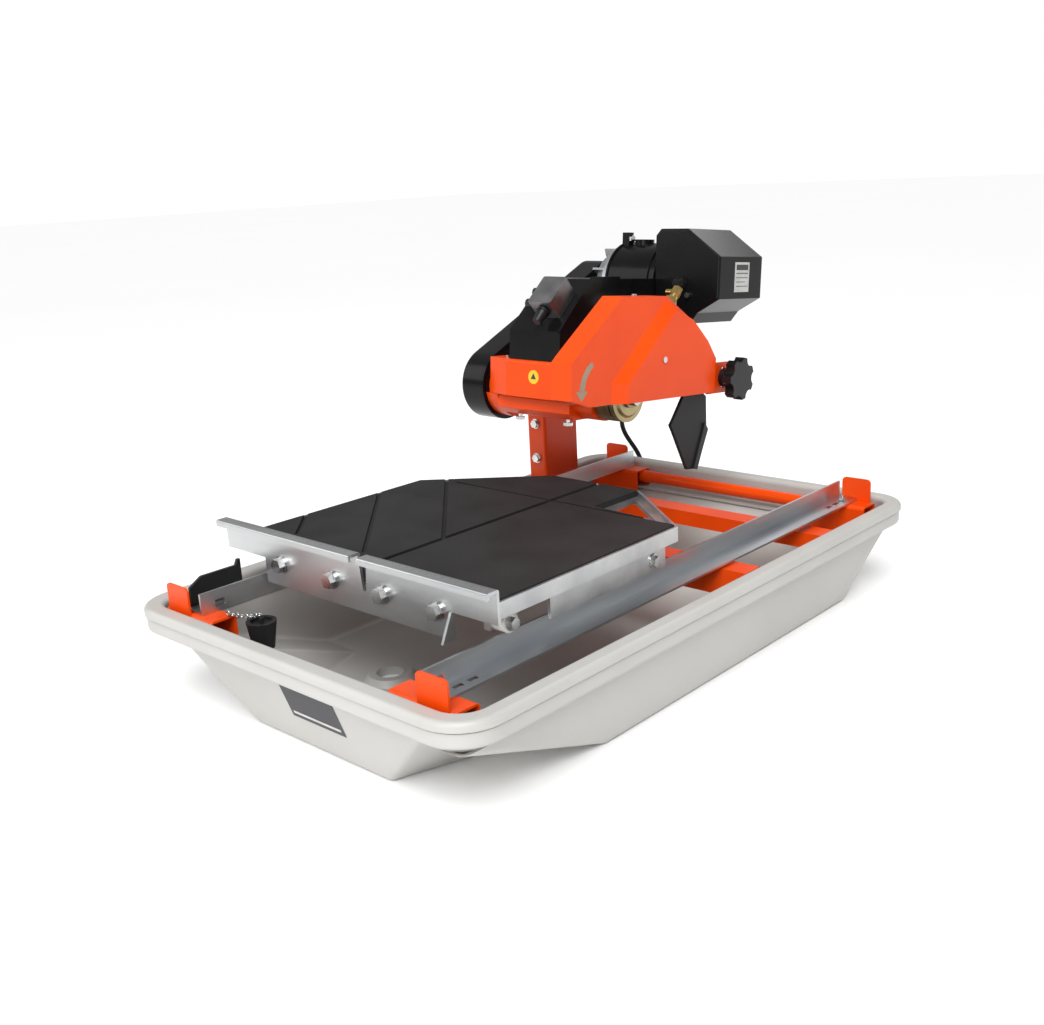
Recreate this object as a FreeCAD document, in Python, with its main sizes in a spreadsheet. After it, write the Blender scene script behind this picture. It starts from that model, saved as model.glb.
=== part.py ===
import FreeCAD, Part
import Sketcher
import math
import os

# Wet tile saw on a moulded pan: sliding table on two rails, and a belt driven head on a post.
# Frame: millimetres, +Z up, +X to the right, -Y to the front, origin under the pan's centre.
# The head is drawn level about its own zero, on the blade line, and then set down pitched.

DIMENSIONS = {
    # pan
    "pan_wide": 660, "pan_long": 1055, "groove_height": 137, "lip_height": 12, "lip_width": 28,
    "skirt_height": 22, "skirt_inset": 2.5, "rim_corner": 60, "pan_wall": 4.5, "tub_top": 105,
    "tub_half_top": 308, "tub_half_floor": 282, "ramp_start": 20, "floor_front": 292,
    "floor_rear": 914, "tub_rear_top": 1004, "well_half": 132, "well_front": 62,
    "well_top_half": 236, "well_top_front": 25, "well_rear_half": 215, "tub_round": 26,
    "drain_x": -91, "drain_y": 262, "drain_hole": 20, "drain_boss": 40, "drain_rise": 9,
    # rails and frame
    "rail_right": 220, "rail_left": 208, "rail_front": 42, "rail_rear": 1004, "rail_base": 144,
    "rail_height": 30, "rail_flange": 35, "rail_gauge": 3.2, "bracket_front": 34,
    "bracket_wide": 40, "bracket_gauge": 3, "bracket_top": 143.6, "bracket_inner": 176,
    "bracket_outer": 284, "tab_top": 181, "tab_inner": 226, "tab_outer": 276, "rear_bracket": 978,
    "cross_tube": 22, "cross_tube_y": 1000, "cross_tube_z": 131, "mid_member_y": 600,
    # post and pivot
    "post_right": -258.5, "post_wide": 42, "post_front": 808, "post_deep": 92, "post_foot": 137,
    "post_top": 272, "pivot_y": 838, "pivot_z": 304, "pivot_pin": 8, "pivot_barrel": 15,
    "fit_gap": 0.05,
    # head, in its own level frame
    "head_y": 157.5, "head_z": 352, "head_pitch": 5.2, "shaft_v": 12, "shaft_radius": 12.5,
    "motor_v": 278, "motor_w": 168, "motor_radius": 70, "motor_shaft": 8,
    "pulley_ring": 35, "motor_pulley_ring": 28, "pulley_left": -282, "pulley_right": -252,
    "belt_guard_left": -292, "belt_guard_right": -243, "belt_guard_low": 60,
    "belt_guard_high": 38, "sheet": 2.5, "flange_radius": 40,
    # blade guard
    "guard_left": -10, "guard_right": 30, "guard_swell": 12, "guard_base": -6.5,
    "guard_front": -141, "guard_rear": 224, "guard_top": 155,
    # table, fence and rollers
    "table_left": -256, "table_right": 240, "table_front": 158, "table_rear": 632,
 "pad_thick": 9, "plate_top": 216.5, "table_edge": 14, "slot_x": 10,
    "slot_wide": 9, "fence_left": -290, "fence_right": 246, "fence_y": 152, "fence_top": 243,
    "fence_base": 199, "fence_lip": 20, "fence_gauge": 4, "fence_foot": 163,
    "roller_radius": 13, "axle_radius": 5, "roller_front": 187,
    "roller_rear": 463,
    # cord
    "cord_radius": 4.5,
}

doc = FreeCAD.newDocument("tile_saw")
sheet = doc.addObject("Spreadsheet::Sheet", "Sizes")
for row, (alias, number) in enumerate(DIMENSIONS.items(), start=1):
    sheet.set(f"A{row}", alias)
    sheet.set(f"B{row}", str(number))
    sheet.setAlias(f"B{row}", alias)
doc.recompute()


class Size:
    """A length that knows its number and the sheet expression it comes from."""

    def __init__(self, number, text):
        self.number = number
        self.text = text

    def __add__(self, other):
        return joined(self, "+", other)

    def __radd__(self, other):
        return joined(other, "+", self)

    def __sub__(self, other):
        return joined(self, "-", other)

    def __rsub__(self, other):
        return joined(other, "-", self)

    def __mul__(self, other):
        return joined(self, "*", other)

    def __rmul__(self, other):
        return joined(other, "*", self)

    def __truediv__(self, other):
        return joined(self, "/", other)

    def __neg__(self):
        return joined(0, "-", self)


def number_of(value):
    return value.number if isinstance(value, Size) else float(value)


def text_of(value):
    return value.text if isinstance(value, Size) else f"{float(value):.6f}"


def joined(left, sign, right):
    first, second = number_of(left), number_of(right)
    result = {"+": first + second, "-": first - second, "*": first * second,
              "/": first / second if sign == "/" else 0.0}[sign]
    return Size(result, f"({text_of(left)} {sign} {text_of(right)})")


class Dimensions:
    """Reads a driving dimension as a Size: dim.pan_wide."""

    def __getattr__(self, alias):
        return Size(float(getattr(sheet, alias)), f"Sizes.{alias}")


dim = Dimensions()
front_edge = -dim.pan_long / 2          # y of the pan's front edge
blade_x = dim.slot_x


def from_front(distance):
    """A y measured back from the pan's front edge."""
    return front_edge + distance


def bind(item, prop, value):
    if isinstance(value, Size):
        item.setExpression(prop, value.text)
    else:
        item.setExpression(prop, None)
        setattr(item, prop, value)


# ---------------------------------------------------------------- making shapes

NORMAL = {"XY_Plane": 1, "YZ_Plane": 1, "XZ_Plane": -1}     # sketch normal along the axis
nodes = []


def new_body(label):
    made = doc.addObject("PartDesign::Body", label)
    made.Label = label
    return made


def origin_plane(body, role):
    for feature in body.Origin.OriginFeatures:
        if feature.Role == role:
            return feature
    raise ValueError(role)


def new_sketch(body, role, offset):
    sketch = body.newObject("Sketcher::SketchObject", body.Name + "_sketch")
    sketch.AttachmentSupport = [(origin_plane(body, role), "")]
    sketch.MapMode = "FlatFace"
    place = offset if NORMAL[role] > 0 else -offset
    if isinstance(place, Size):
        sketch.setExpression(".AttachmentOffset.Base.z", place.text)
    else:
        sketch.AttachmentOffset = FreeCAD.Placement(FreeCAD.Vector(0, 0, place), FreeCAD.Rotation())
    return sketch


def hold_point(sketch, geometry, corner, point):
    """Ties one sketch point to its two coordinates."""
    for kind, value in zip(("DistanceX", "DistanceY"), point):
        index = sketch.addConstraint(
            Sketcher.Constraint(kind, -1, 1, geometry, corner, number_of(value)))
        if isinstance(value, Size):
            sketch.setExpression(f"Constraints[{index}]", value.text)


def draw_outline(sketch, points):
    first = sketch.GeometryCount
    spots = [FreeCAD.Vector(number_of(u), number_of(v), 0) for u, v in points]
    for index, spot in enumerate(spots):
        sketch.addGeometry(Part.LineSegment(spot, spots[(index + 1) % len(spots)]), False)
    for index in range(len(spots)):
        following = first + (index + 1) % len(spots)
        sketch.addConstraint(Sketcher.Constraint("Coincident", first + index, 2, following, 1))
    for index, point in enumerate(points):
        hold_point(sketch, first + index, 1, point)


def draw_circle(sketch, centre, radius):
    index = sketch.addGeometry(Part.Circle(
        FreeCAD.Vector(number_of(centre[0]), number_of(centre[1]), 0),
        FreeCAD.Vector(0, 0, 1), number_of(radius)), False)
    hold_point(sketch, index, 3, centre)
    held = sketch.addConstraint(Sketcher.Constraint("Radius", index, number_of(radius)))
    if isinstance(radius, Size):
        sketch.setExpression(f"Constraints[{held}]", radius.text)


def draw(sketch, loops):
    for loop in loops:
        if loop[0] == "circle":
            draw_circle(sketch, loop[1], loop[2])
        else:
            draw_outline(sketch, loop)


def pad(body, role, start, end, loops):
    """Adds the loops' outline from start to end along the plane's own axis."""
    sketch = new_sketch(body, role, start if NORMAL[role] > 0 else end)
    draw(sketch, loops)
    feature = body.newObject("PartDesign::Pad", body.Name + "_pad")
    feature.Profile = sketch
    bind(feature, "Length", end - start)
    doc.recompute()
    return feature


def pocket(body, role, start, end, loops):
    """Cuts the loops' outline from start to end, and proves that it cut."""
    before = body.Shape.Volume
    sketch = new_sketch(body, role, end if NORMAL[role] > 0 else start)
    draw(sketch, loops)
    feature = body.newObject("PartDesign::Pocket", body.Name + "_pocket")
    feature.Profile = sketch
    bind(feature, "Length", end - start)
    doc.recompute()
    if body.Shape.Volume >= before - 1e-3:
        raise RuntimeError(f"{body.Label}: a pocket cut nothing")
    return feature


def picked_edges(shape, wanted):
    return [f"Edge{index}" for index, edge in enumerate(shape.Edges, start=1) if wanted(edge)]


def soften(body, radius, wanted, kind="PartDesign::Fillet"):
    """Rounds or bevels the edges of the body's last feature that wanted() picks."""
    tip = body.Tip
    names = picked_edges(tip.Shape, wanted)
    feature = body.newObject(kind, body.Name + "_edge")
    feature.Base = (tip, names)
    bind(feature, "Radius" if kind.endswith("Fillet") else "Size", radius)
    doc.recompute()
    return feature


def along(axis, low=None):
    """Picks straight edges that run along an axis, with all points past low."""
    def wanted(edge):
        run = edge.Vertexes[-1].Point - edge.Vertexes[0].Point
        straight = edge.Curve.TypeId == "Part::GeomLine" and run.Length > 1
        return straight and abs(abs(run.dot(axis)) - run.Length) < 1e-3 and (low is None or low(edge))
    return wanted


X_AXIS, Y_AXIS, Z_AXIS = FreeCAD.Vector(1, 0, 0), FreeCAD.Vector(0, 1, 0), FreeCAD.Vector(0, 0, 1)


def rectangle(left, right, low, high):
    return [(left, low), (right, low), (right, high), (left, high)]


def block(name, x_range, y_range, z_range):
    """A Part box between two corners, bound to the sheet."""
    made = doc.addObject("Part::Box", name)
    for prop, span in zip(("Length", "Width", "Height"), (x_range, y_range, z_range)):
        bind(made, prop, span[1] - span[0])
    set_place(made, (x_range[0], y_range[0], z_range[0]))
    return made


TURN_TO = {"x": FreeCAD.Rotation(Y_AXIS, 90), "y": FreeCAD.Rotation(X_AXIS, -90),
           "z": FreeCAD.Rotation()}


def set_place(item, base, turn=None):
    item.Placement = FreeCAD.Placement(
        FreeCAD.Vector(*[number_of(value) for value in base]), turn or FreeCAD.Rotation())
    for letter, value in zip("xyz", base):
        if isinstance(value, Size):
            item.setExpression(f".Placement.Base.{letter}", value.text)


def rod(name, axis, start, end, centre, radius, sides=0):
    """A cylinder along an axis, or a prism with that many sides."""
    made = doc.addObject("Part::Prism" if sides else "Part::Cylinder", name)
    bind(made, "Circumradius" if sides else "Radius", radius)
    if sides:
        made.Polygon = sides
    bind(made, "Height", end - start)
    first, second = centre
    base = {"x": (start, first, second), "y": (first, start, second),
            "z": (first, second, start)}[axis]
    set_place(made, base, TURN_TO[axis])
    return made


def cone(name, axis, start, end, centre, radius_start, radius_end):
    made = doc.addObject("Part::Cone", name)
    bind(made, "Radius1", radius_start)
    bind(made, "Radius2", radius_end)
    bind(made, "Height", end - start)
    first, second = centre
    base = {"x": (start, first, second), "y": (first, start, second),
            "z": (first, second, start)}[axis]
    set_place(made, base, TURN_TO[axis])
    return made


def fused(name, pieces):
    made = doc.addObject("Part::MultiFuse", name)
    made.Shapes = pieces
    made.Refine = True
    return made


def cut(name, base, tools):
    made = doc.addObject("Part::Cut", name)
    made.Base = base
    made.Tool = tools[0] if len(tools) == 1 else fused(name + "_tools", tools)
    made.Refine = True
    return made


def grouped(name, pieces):
    made = doc.addObject("Part::Compound", name)
    made.Links = pieces
    return made


def shaped(name, shape):
    """A feature whose shape Part's own functions made."""
    made = doc.addObject("Part::Feature", name)
    made.Shape = shape
    return made


def head_placement():
    return FreeCAD.Placement(
        FreeCAD.Vector(0, number_of(dim.head_y), number_of(dim.head_z)),
        FreeCAD.Rotation(X_AXIS, -number_of(dim.head_pitch)))


def keep(item, label, in_head=False):
    """Names the finished piece, and carries a head piece to the pitched head."""
    item.Label = label
    if in_head:
        for letter in "xyz":
            item.setExpression(f".Placement.Base.{letter}", None)
        item.Placement = head_placement().multiply(item.Placement)
    nodes.append(item)
    return item


def corner_points(left, right, front, back, height):
    return [FreeCAD.Vector(*(number_of(value) for value in point)) for point in (
        (left, front, height), (right, front, height), (right, back, height), (left, back, height))]


def closed_wire(points):
    return Part.makePolygon(points + [points[0]])


def ruled_solid(lower, upper):
    return Part.makeLoft([closed_wire(lower), closed_wire(upper)], True, True)


# ---------------------------------------------------------------- pan

def tub_solid(inset):
    """The tub and its drain well, drawn in by inset for the inner face."""
    n = number_of
    half_floor, half_top = n(dim.tub_half_floor) - inset, n(dim.tub_half_top) - inset
    ramp_top = n(dim.tub_top)
    front = n(from_front(dim.ramp_start)) + inset
    floor_front = n(from_front(dim.floor_front)) + inset * 0.7
    floor_rear, rear_top = n(from_front(dim.floor_rear)) - inset, n(from_front(dim.tub_rear_top)) - inset
    lower = corner_points(-half_floor, half_floor, floor_front, floor_rear, inset)
    upper = corner_points(-half_top, half_top, front, rear_top, ramp_top)
    tub = ruled_solid(lower, upper)
    well_lower = [FreeCAD.Vector(x, y, inset) for x, y in (
        (-n(dim.well_half) + inset, n(from_front(dim.well_front)) + inset),
        (n(dim.well_half) - inset, n(from_front(dim.well_front)) + inset),
        (n(dim.well_rear_half) - inset, floor_front + 10),
        (-n(dim.well_rear_half) + inset, floor_front + 10))]
    well_upper = corner_points(-n(dim.well_top_half) + inset, n(dim.well_top_half) - inset,
                               n(from_front(dim.well_top_front)) + inset, floor_front + 10, ramp_top)
    well_upper[2].x, well_upper[3].x = half_top - 6, -half_top + 6
    tub = tub.fuse(ruled_solid(well_lower, well_upper)).removeSplitter()
    rounds = [edge for edge in tub.Edges if not level_at(edge, ramp_top)]
    tub = rounded(tub, rounds, n(dim.tub_round) - inset)
    return tub


def level_at(edge, height):
    return all(abs(vertex.Z - height) < 0.01 for vertex in edge.Vertexes)


def rounded(solid, edges, radius):
    """Fillets as many of the edges as the solid allows, largest radius first."""
    for size in (radius, radius * 0.7, radius * 0.4):
        try:
            made = solid.makeFillet(size, edges)
            if made.isValid() and made.Volume > 0:
                return made
        except Part.OCCError:
            continue
    return solid


def rounded_slab(left, right, front, back, low, high, radius):
    """An upright slab with rounded corners."""
    slab = Part.makeBox(right - left, back - front, high - low, FreeCAD.Vector(left, front, low))
    uprights = [edge for edge in slab.Edges if abs(edge.Vertexes[0].Z - edge.Vertexes[1].Z) > 1]
    return slab.makeFillet(radius, uprights)


def rim_slab():
    """The rolled lip, the thin groove under it and the skirt below, drawn in a little."""
    n = number_of
    groove, lip_top = n(dim.groove_height), n(dim.groove_height + dim.lip_height)
    half, front, back = n(dim.pan_wide) / 2, n(front_edge), -n(front_edge)
    corner, inset = n(dim.rim_corner), n(dim.skirt_inset)
    lip = rounded_slab(-half, half, front, back, groove, lip_top, corner)
    lip = lip.makeFillet(7, [edge for edge in lip.Edges if level_at(edge, lip_top)])
    neck = rounded_slab(-half + 3 + inset, half - 3 - inset, front + 3 + inset, back - 3 - inset,
                        groove - 3, groove + 0.5, corner - 5)
    skirt_foot = groove - n(dim.skirt_height)
    skirt = rounded_slab(-half + inset, half - inset, front + inset, back - inset,
                         skirt_foot, groove - 2, corner - inset)
    skirt = skirt.makeFillet(5, [edge for edge in skirt.Edges if level_at(edge, skirt_foot)])
    return lip.fuse([neck, skirt])


def rim_throat():
    """The opening inside the lip, down to the tub."""
    n = number_of
    width, lip_top = n(dim.lip_width), n(dim.groove_height + dim.lip_height)
    half, back = n(dim.pan_wide) / 2 - width, -n(front_edge) - width
    return rounded_slab(-half, half, -back, back, n(dim.tub_top) - 0.5, lip_top + 20,
                        n(dim.rim_corner) - 26)


def make_pan():
    n = number_of
    wall, groove = n(dim.pan_wall), n(dim.groove_height)
    outer, inner = tub_solid(0), tub_solid(wall)
    half, back = n(dim.pan_wide) / 2, -n(front_edge)
    rear_top = n(from_front(dim.tub_rear_top))
    collar = rounded_slab(-n(dim.tub_half_top), n(dim.tub_half_top), n(from_front(dim.ramp_start)),
                          back - 22, n(dim.tub_top) - 0.4, groove + 4, 40)
    throat = rim_throat()
    ledge = rounded_slab(-half + 24, half - 24, rear_top - 10, back - 24,
                         n(dim.tub_top), n(dim.tub_top) + wall, 9)
    hole = FreeCAD.Vector(n(dim.drain_x), n(from_front(dim.drain_y)), -1)
    boss = Part.makeCone(n(dim.drain_boss), n(dim.drain_boss) - 8, n(dim.drain_rise),
                         FreeCAD.Vector(hole.x, hole.y, wall - 0.2))
    drain = Part.makeCylinder(n(dim.drain_hole), 60, hole)
    shell = outer.fuse([collar, rim_slab()]).cut(throat)
    inner_edge = [edge for edge in shell.Edges
                  if level_at(edge, groove + n(dim.lip_height)) and inside_rim(edge)]
    shell = rounded(shell, inner_edge, 7).cut(inner).fuse([boss, ledge]).cut(drain)
    return keep(shaped("pan_shell", shell), "pan")


def inside_rim(edge):
    """True for an edge that borders the opening and not the rim's outer side."""
    width = number_of(dim.lip_width)
    half, back = number_of(dim.pan_wide) / 2 - width + 1, -number_of(front_edge) - width + 1
    box = edge.BoundBox
    return box.XMin > -half and box.XMax < half and box.YMin > -back and box.YMax < back


def make_drain_plug():
    """A tapered rubber stopper, set down on the ramp beside the front left bracket."""
    foot = (-158, from_front(100))
    body = cone("plug_body", "z", 91, 130, foot, 15, 21)
    dish = rod("plug_dish", "z", 126, 140, foot, 15)
    stud = rod("plug_stud", "z", 124, 134, foot, 3)
    shell = cut("plug_shell", body, [dish])
    keep(fused("plug_whole", [shell, stud]), "drain_plug")


def make_plug_chain():
    """A slack ball chain from the bracket's bolt to the stopper."""
    start = FreeCAD.Vector(-176, number_of(from_front(62)), 149)
    end = FreeCAD.Vector(-158, number_of(from_front(99)), 139)
    beads = []
    for index in range(8):
        share = index / 7
        spot = start + (end - start) * share
        spot.z -= 14 * share * (1 - share)
        beads.append(Part.makeTorus(3.4, 1.0, spot, Z_AXIS if index % 2 else Y_AXIS))
    keep(shaped("chain_links", Part.makeCompound(beads)), "plug_chain")


# ---------------------------------------------------------------- frame and rails

def make_bracket(label, side, front, tab_front):
    """An inverted channel across a corner, with an upright tab that stops the rail's end."""
    gauge = dim.bracket_gauge
    inner, outer = dim.bracket_inner * side, dim.bracket_outer * side
    left, right = (inner, outer) if side > 0 else (outer, inner)
    body = new_body(label + "_body")
    back = front + dim.bracket_wide
    lowest_front, lowest_back = (108, 94) if tab_front else (90, 110)
    outline = [(front, lowest_front), (front, dim.bracket_top), (back, dim.bracket_top),
               (back, lowest_back), (back - gauge, lowest_back), (back - gauge, dim.bracket_top - gauge),
               (front + gauge, dim.bracket_top - gauge), (front + gauge, lowest_front)]
    pad(body, "YZ_Plane", left, right, [outline])
    soften(body, 6, along(X_AXIS, lambda edge: edge.Vertexes[0].Z > number_of(dim.bracket_top) - 0.5))
    tab_left, tab_right = ((dim.tab_inner, dim.tab_outer) if side > 0
                           else (-dim.tab_outer, -dim.tab_inner))
    stop = front if tab_front else back - gauge
    pad(body, "XZ_Plane", stop, stop + gauge,
        [rectangle(tab_left, tab_right, dim.bracket_top - 8, dim.tab_top)])
    top = number_of(dim.tab_top) - 1
    soften(body, 7, along(Y_AXIS, lambda edge: edge.Vertexes[0].Z > top))
    return keep(body, label)


def make_rear_frame():
    """Two rear corner brackets joined by a round cross tube, welded as one piece."""
    pieces = []
    for label, side in (("rear_left", -1), ("rear_right", 1)):
        made = make_bracket(label, side, from_front(dim.rear_bracket - 8), False)
        nodes.remove(made)
        pieces.append(made)
    tube = rod("cross_tube", "x", -dim.bracket_inner - 4, dim.bracket_inner + 4,
               (from_front(dim.cross_tube_y - 6), dim.cross_tube_z - 0.5), dim.cross_tube / 2)
    keep(fused("rear_frame_weldment", pieces + [tube]), "rear_cross_frame")


def make_mid_member():
    """A channel across the pan under both rails, with two ears that steady the right rail."""
    body = new_body("mid_member_body")
    front = from_front(dim.mid_member_y)
    outline = [(front, 100), (front, 140), (front + 38, 140), (front + 38, 100), (front + 35, 100),
               (front + 35, 137), (front + 3, 137), (front + 3, 100)]
    pad(body, "YZ_Plane", -292, 292, [outline])
    for side in (-1, 1):
        near = (dim.rail_right if side > 0 else -dim.rail_left) - side * 9
        low, high = (near - 3, near) if side > 0 else (near, near + 3)
        pad(body, "YZ_Plane", low, high, [rectangle(front + 4, front + 34, 138, 160)])
    soften(body, 8, along(X_AXIS, lambda edge: edge.Vertexes[0].Z > 159))
    keep(body, "mid_cross_member")


def make_rail(label, side):
    """A galvanised angle: upright leg inboard, flange outward along its foot, slotted ends."""
    inner = dim.rail_right if side > 0 else -dim.rail_left
    gauge, base = dim.rail_gauge, dim.rail_base
    body = new_body(label + "_body")
    outline = [(inner, base), (inner + side * dim.rail_flange, base),
               (inner + side * dim.rail_flange, base + gauge), (inner + side * gauge, base + gauge),
               (inner + side * gauge, base + dim.rail_height), (inner, base + dim.rail_height)]
    front, rear = from_front(dim.rail_front), from_front(dim.rail_rear)
    pad(body, "XZ_Plane", front, rear, [outline])
    middle = inner + side * 20
    slots = []
    for start in (10, 34, 58, 886, 910, 933):
        near = front + start
        slots.append([(middle - 3.5, near), (middle + 3.5, near),
                      (middle + 3.5, near + 15), (middle - 3.5, near + 15)])
    pocket(body, "XY_Plane", base - 1, base + gauge + 1, slots)
    notch_low, notch_high = (inner - 1, inner + gauge + 1) if side > 0 else (inner - gauge - 1, inner + 1)
    pocket(body, "YZ_Plane", notch_low, notch_high,
           [rectangle(front + 22, front + 38, base + 6, base + 16)])
    keep(body, label)


def hex_bolt(name, x, y, low, high, head=6.5):
    """A bolt standing along Z: hexagon head at low, round end at high."""
    shank = rod(name + "_shank", "z", low, high, (x, y), 3)
    cap = rod(name + "_head", "z", low, low + 5, (x, y), head, sides=6)
    return fused(name, [shank, cap])


def make_rail_bolts():
    """A stud and nut in one slot at each rail end, standing on the bracket below."""
    bolts = []
    for side in (-1, 1):
        middle = (dim.rail_right if side > 0 else -dim.rail_left) + side * 20
        for start, name in ((59.5, "front"), (982.5, "rear")):
            spot = (middle, from_front(start))
            bolts.append(fused(f"rail_bolt_{name}_{side + 1}", [
                rod(f"shank_{name}_{side + 1}", "z", 143.8, 157, spot, 3),
                rod(f"nut_{name}_{side + 1}", "z", 147.4, 152.5, spot, 6.4, sides=6)]))
    keep(grouped("rail_bolt_set", bolts), "rail_bolts")


def make_bumper():
    """A black rubber strip standing outside the left rail at its front end."""
    body = new_body("bumper_body")
    left = -dim.rail_left - dim.rail_flange - 9
    outline = [(from_front(52), 144), (from_front(52), 172), (from_front(72), 184),
               (from_front(128), 184), (from_front(132), 192), (from_front(136), 192),
               (from_front(136), 144)]
    pad(body, "YZ_Plane", left, left + 5, [outline])
    keep(body, "rail_bumper")


# ---------------------------------------------------------------- post and pivot

def make_post():
    """A rectangular steel tube with round corners."""
    body = new_body("post_body")
    left, right = dim.post_right - dim.post_wide, dim.post_right
    front, back = from_front(dim.post_front), from_front(dim.post_front + dim.post_deep)
    pad(body, "XY_Plane", dim.post_foot, dim.post_top, [rectangle(left, right, front, back)])
    soften(body, 5, along(Z_AXIS))
    pocket(body, "XY_Plane", dim.post_foot - 1, dim.post_top + 1,
           [rectangle(left + 3, right - 3, front + 3, back - 3)])
    keep(body, "post")


def make_post_foot():
    """The plate and gusset that carry the post on the rails' outer side."""
    left, right = dim.post_right - dim.post_wide, -dim.rail_left - dim.rail_flange - 0.5
    front, back = from_front(dim.post_front - 14), from_front(dim.post_front + dim.post_deep + 14)
    plate = block("foot_plate", (left, right + 6), (front, back),
                  (dim.post_foot - 5, dim.post_foot - 0.1))
    bar = block("foot_bar", (-292, 292), (front + 40, front + 78),
                (dim.post_foot - 30, dim.post_foot - 5))
    inside = block("foot_bar_inside", (-293, 293), (front + 43, front + 75),
                   (dim.post_foot - 31, dim.post_foot - 8))
    keep(cut("foot_weldment", fused("foot_pieces", [plate, bar]), [inside]), "post_foot")


def make_post_bolts():
    """Two washer faced hexagon bolts on the post's front face."""
    bolts = []
    front = from_front(dim.post_front)
    middle = dim.post_right - dim.post_wide / 2
    for height in (192, 256):
        bolts.append(fused(f"post_bolt_{height}", [
            rod(f"post_head_{height}", "y", front - 6.5, front - 0.2, (middle, height), 7.5, sides=6),
            rod(f"post_washer_{height}", "y", front - 1.6, front - 0.1, (middle, height), 9)]))
    keep(grouped("post_bolt_set", bolts), "post_bolts")


def make_pivot_saddle():
    """A folded plate on the post with two cheeks that hold the pivot pin."""
    body = new_body("saddle_body")
    y_mid = from_front(dim.pivot_y)
    low, high = dim.post_top, dim.pivot_z + 14
    left, right = -300, -182
    pad(body, "XY_Plane", low, low + 6, [rectangle(left, right, y_mid - 34, y_mid + 34)])
    for start in (left, right - 6):
        cheek = [(y_mid - 26, low + 5), (y_mid - 16, high), (y_mid + 16, high), (y_mid + 26, low + 5)]
        pad(body, "YZ_Plane", start, start + 6, [cheek])
    pocket(body, "YZ_Plane", left - 1, right + 1,
           [("circle", (y_mid, dim.pivot_z), dim.pivot_pin + dim.fit_gap)])
    keep(body, "pivot_saddle")


def make_pivot_pin():
    centre = (from_front(dim.pivot_y), dim.pivot_z)
    pin = rod("pin_shank", "x", -305, -176, centre, dim.pivot_pin)
    caps = [rod("pin_cap_left", "x", -307, -300.2, centre, 12),
            rod("pin_cap_right", "x", -181.8, -175, centre, 12)]
    keep(fused("pin_whole", [pin] + caps), "pivot_pin")


# ---------------------------------------------------------------- head: housing and drive

def pivot_in_head():
    """The pivot's place in the head's own level frame."""
    turn = math.radians(number_of(dim.head_pitch))
    rise = number_of(dim.pivot_z) - number_of(dim.head_z)
    run = number_of(from_front(dim.pivot_y)) - number_of(dim.head_y)
    return run * math.cos(turn) - rise * math.sin(turn), run * math.sin(turn) + rise * math.cos(turn)


def make_spindle_housing():
    """The cast housing: a bored barrel with a squared foot, bolt bosses and an arm to the pivot."""
    shaft = dim.shaft_v
    foot = new_body("housing_foot")
    pad(foot, "YZ_Plane", -216, -60, [[(-24, -42), (58, -42), (58, -11), (-37, -11), (-37, -32)]])
    pad(foot, "YZ_Plane", -62, -24, [rectangle(-26, 52, -28, -11)])
    soften(foot, 4, along(X_AXIS))
    barrel = rod("housing_barrel", "x", -236, -23, (shaft, 0), 42)
    boss = cut("housing_boss", rod("boss_disc", "x", -239, -214, (shaft, 0), 53),
               [block("boss_flat", (-240, -210), (-60, 80), (-10.6, 60))])
    collar = rod("housing_collar", "x", -239, -214, (shaft, 0), 45)
    v, w = pivot_in_head()
    arm = new_body("housing_arm")
    pad(arm, "YZ_Plane", -236, -198,
        [[(shaft, -44), (v, w - 14), (v + 6, w + 12), (v - 20, w + 22), (60, 34), (shaft, 38)]])
    knuckle = rod("pivot_barrel", "x", -291, -191, (v, w), dim.pivot_barrel)
    bore = rod("spindle_bore", "x", -245, -10, (shaft, 0), dim.shaft_radius + 6)
    seats = [rod("left_seat", "x", -240, -214, (shaft, 0), 26 + dim.fit_gap),
             rod("right_seat", "x", -48, -20, (shaft, 0), 26 + dim.fit_gap)]
    pin_bore = rod("pin_bore", "x", -295, -180, (v, w), dim.pivot_pin + dim.fit_gap)
    casting = fused("housing_casting", [foot, barrel, boss, collar, arm, knuckle])
    keep(cut("housing_bored", casting, [bore, pin_bore] + seats), "spindle_housing", True)


def make_bearings():
    """Two sealed ball bearings pressed on the spindle, one at each end of the housing."""
    rings = []
    for name, start in (("left", -238), ("right", -46)):
        outer = rod(f"bearing_{name}", "x", start, start + 15, (dim.shaft_v, 0), 26)
        hole = rod(f"bearing_hole_{name}", "x", start - 1, start + 16, (dim.shaft_v, 0),
                   dim.shaft_radius + dim.fit_gap)
        rings.append(cut(f"bearing_ring_{name}", outer, [hole]))
    keep(grouped("bearing_set", rings), "spindle_bearings", True)


def make_housing_cover():
    """A folded sheet cover over the housing, its front bent back at the left end."""
    body = new_body("housing_cover_body")
    gauge = dim.sheet
    pad(body, "XY_Plane", -10, 49.5, [[(-232, -38), (-186, -50), (-12.5, -50), (-12.5, 64), (-232, 64)]])
    soften(body, 5, along(X_AXIS, lambda edge: edge.Vertexes[0].Z > 49 and edge.Vertexes[0].Y < 0))
    pocket(body, "XY_Plane", -11, 49.5 - gauge,
           [[(-235, -38 + gauge), (-186, -50 + gauge), (-10, -50 + gauge), (-10, 66), (-235, 66)]])
    keep(body, "housing_cover", True)


def make_housing_bolts():
    """Two hexagon bolts under the housing and two small screws on the cover."""
    bolts = [hex_bolt("under_bolt_left", -180, -20, -52, -42.2, 8),
             hex_bolt("under_bolt_right", -76, -20, -52, -42.2, 8)]
    for name, x in (("left", -200), ("right", -60)):
        bolts.append(rod(f"cover_screw_{name}", "z", 49.6, 53, (x, -28), 4.5, sides=6))
    keep(grouped("housing_bolt_set", bolts), "housing_bolts", True)


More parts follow.
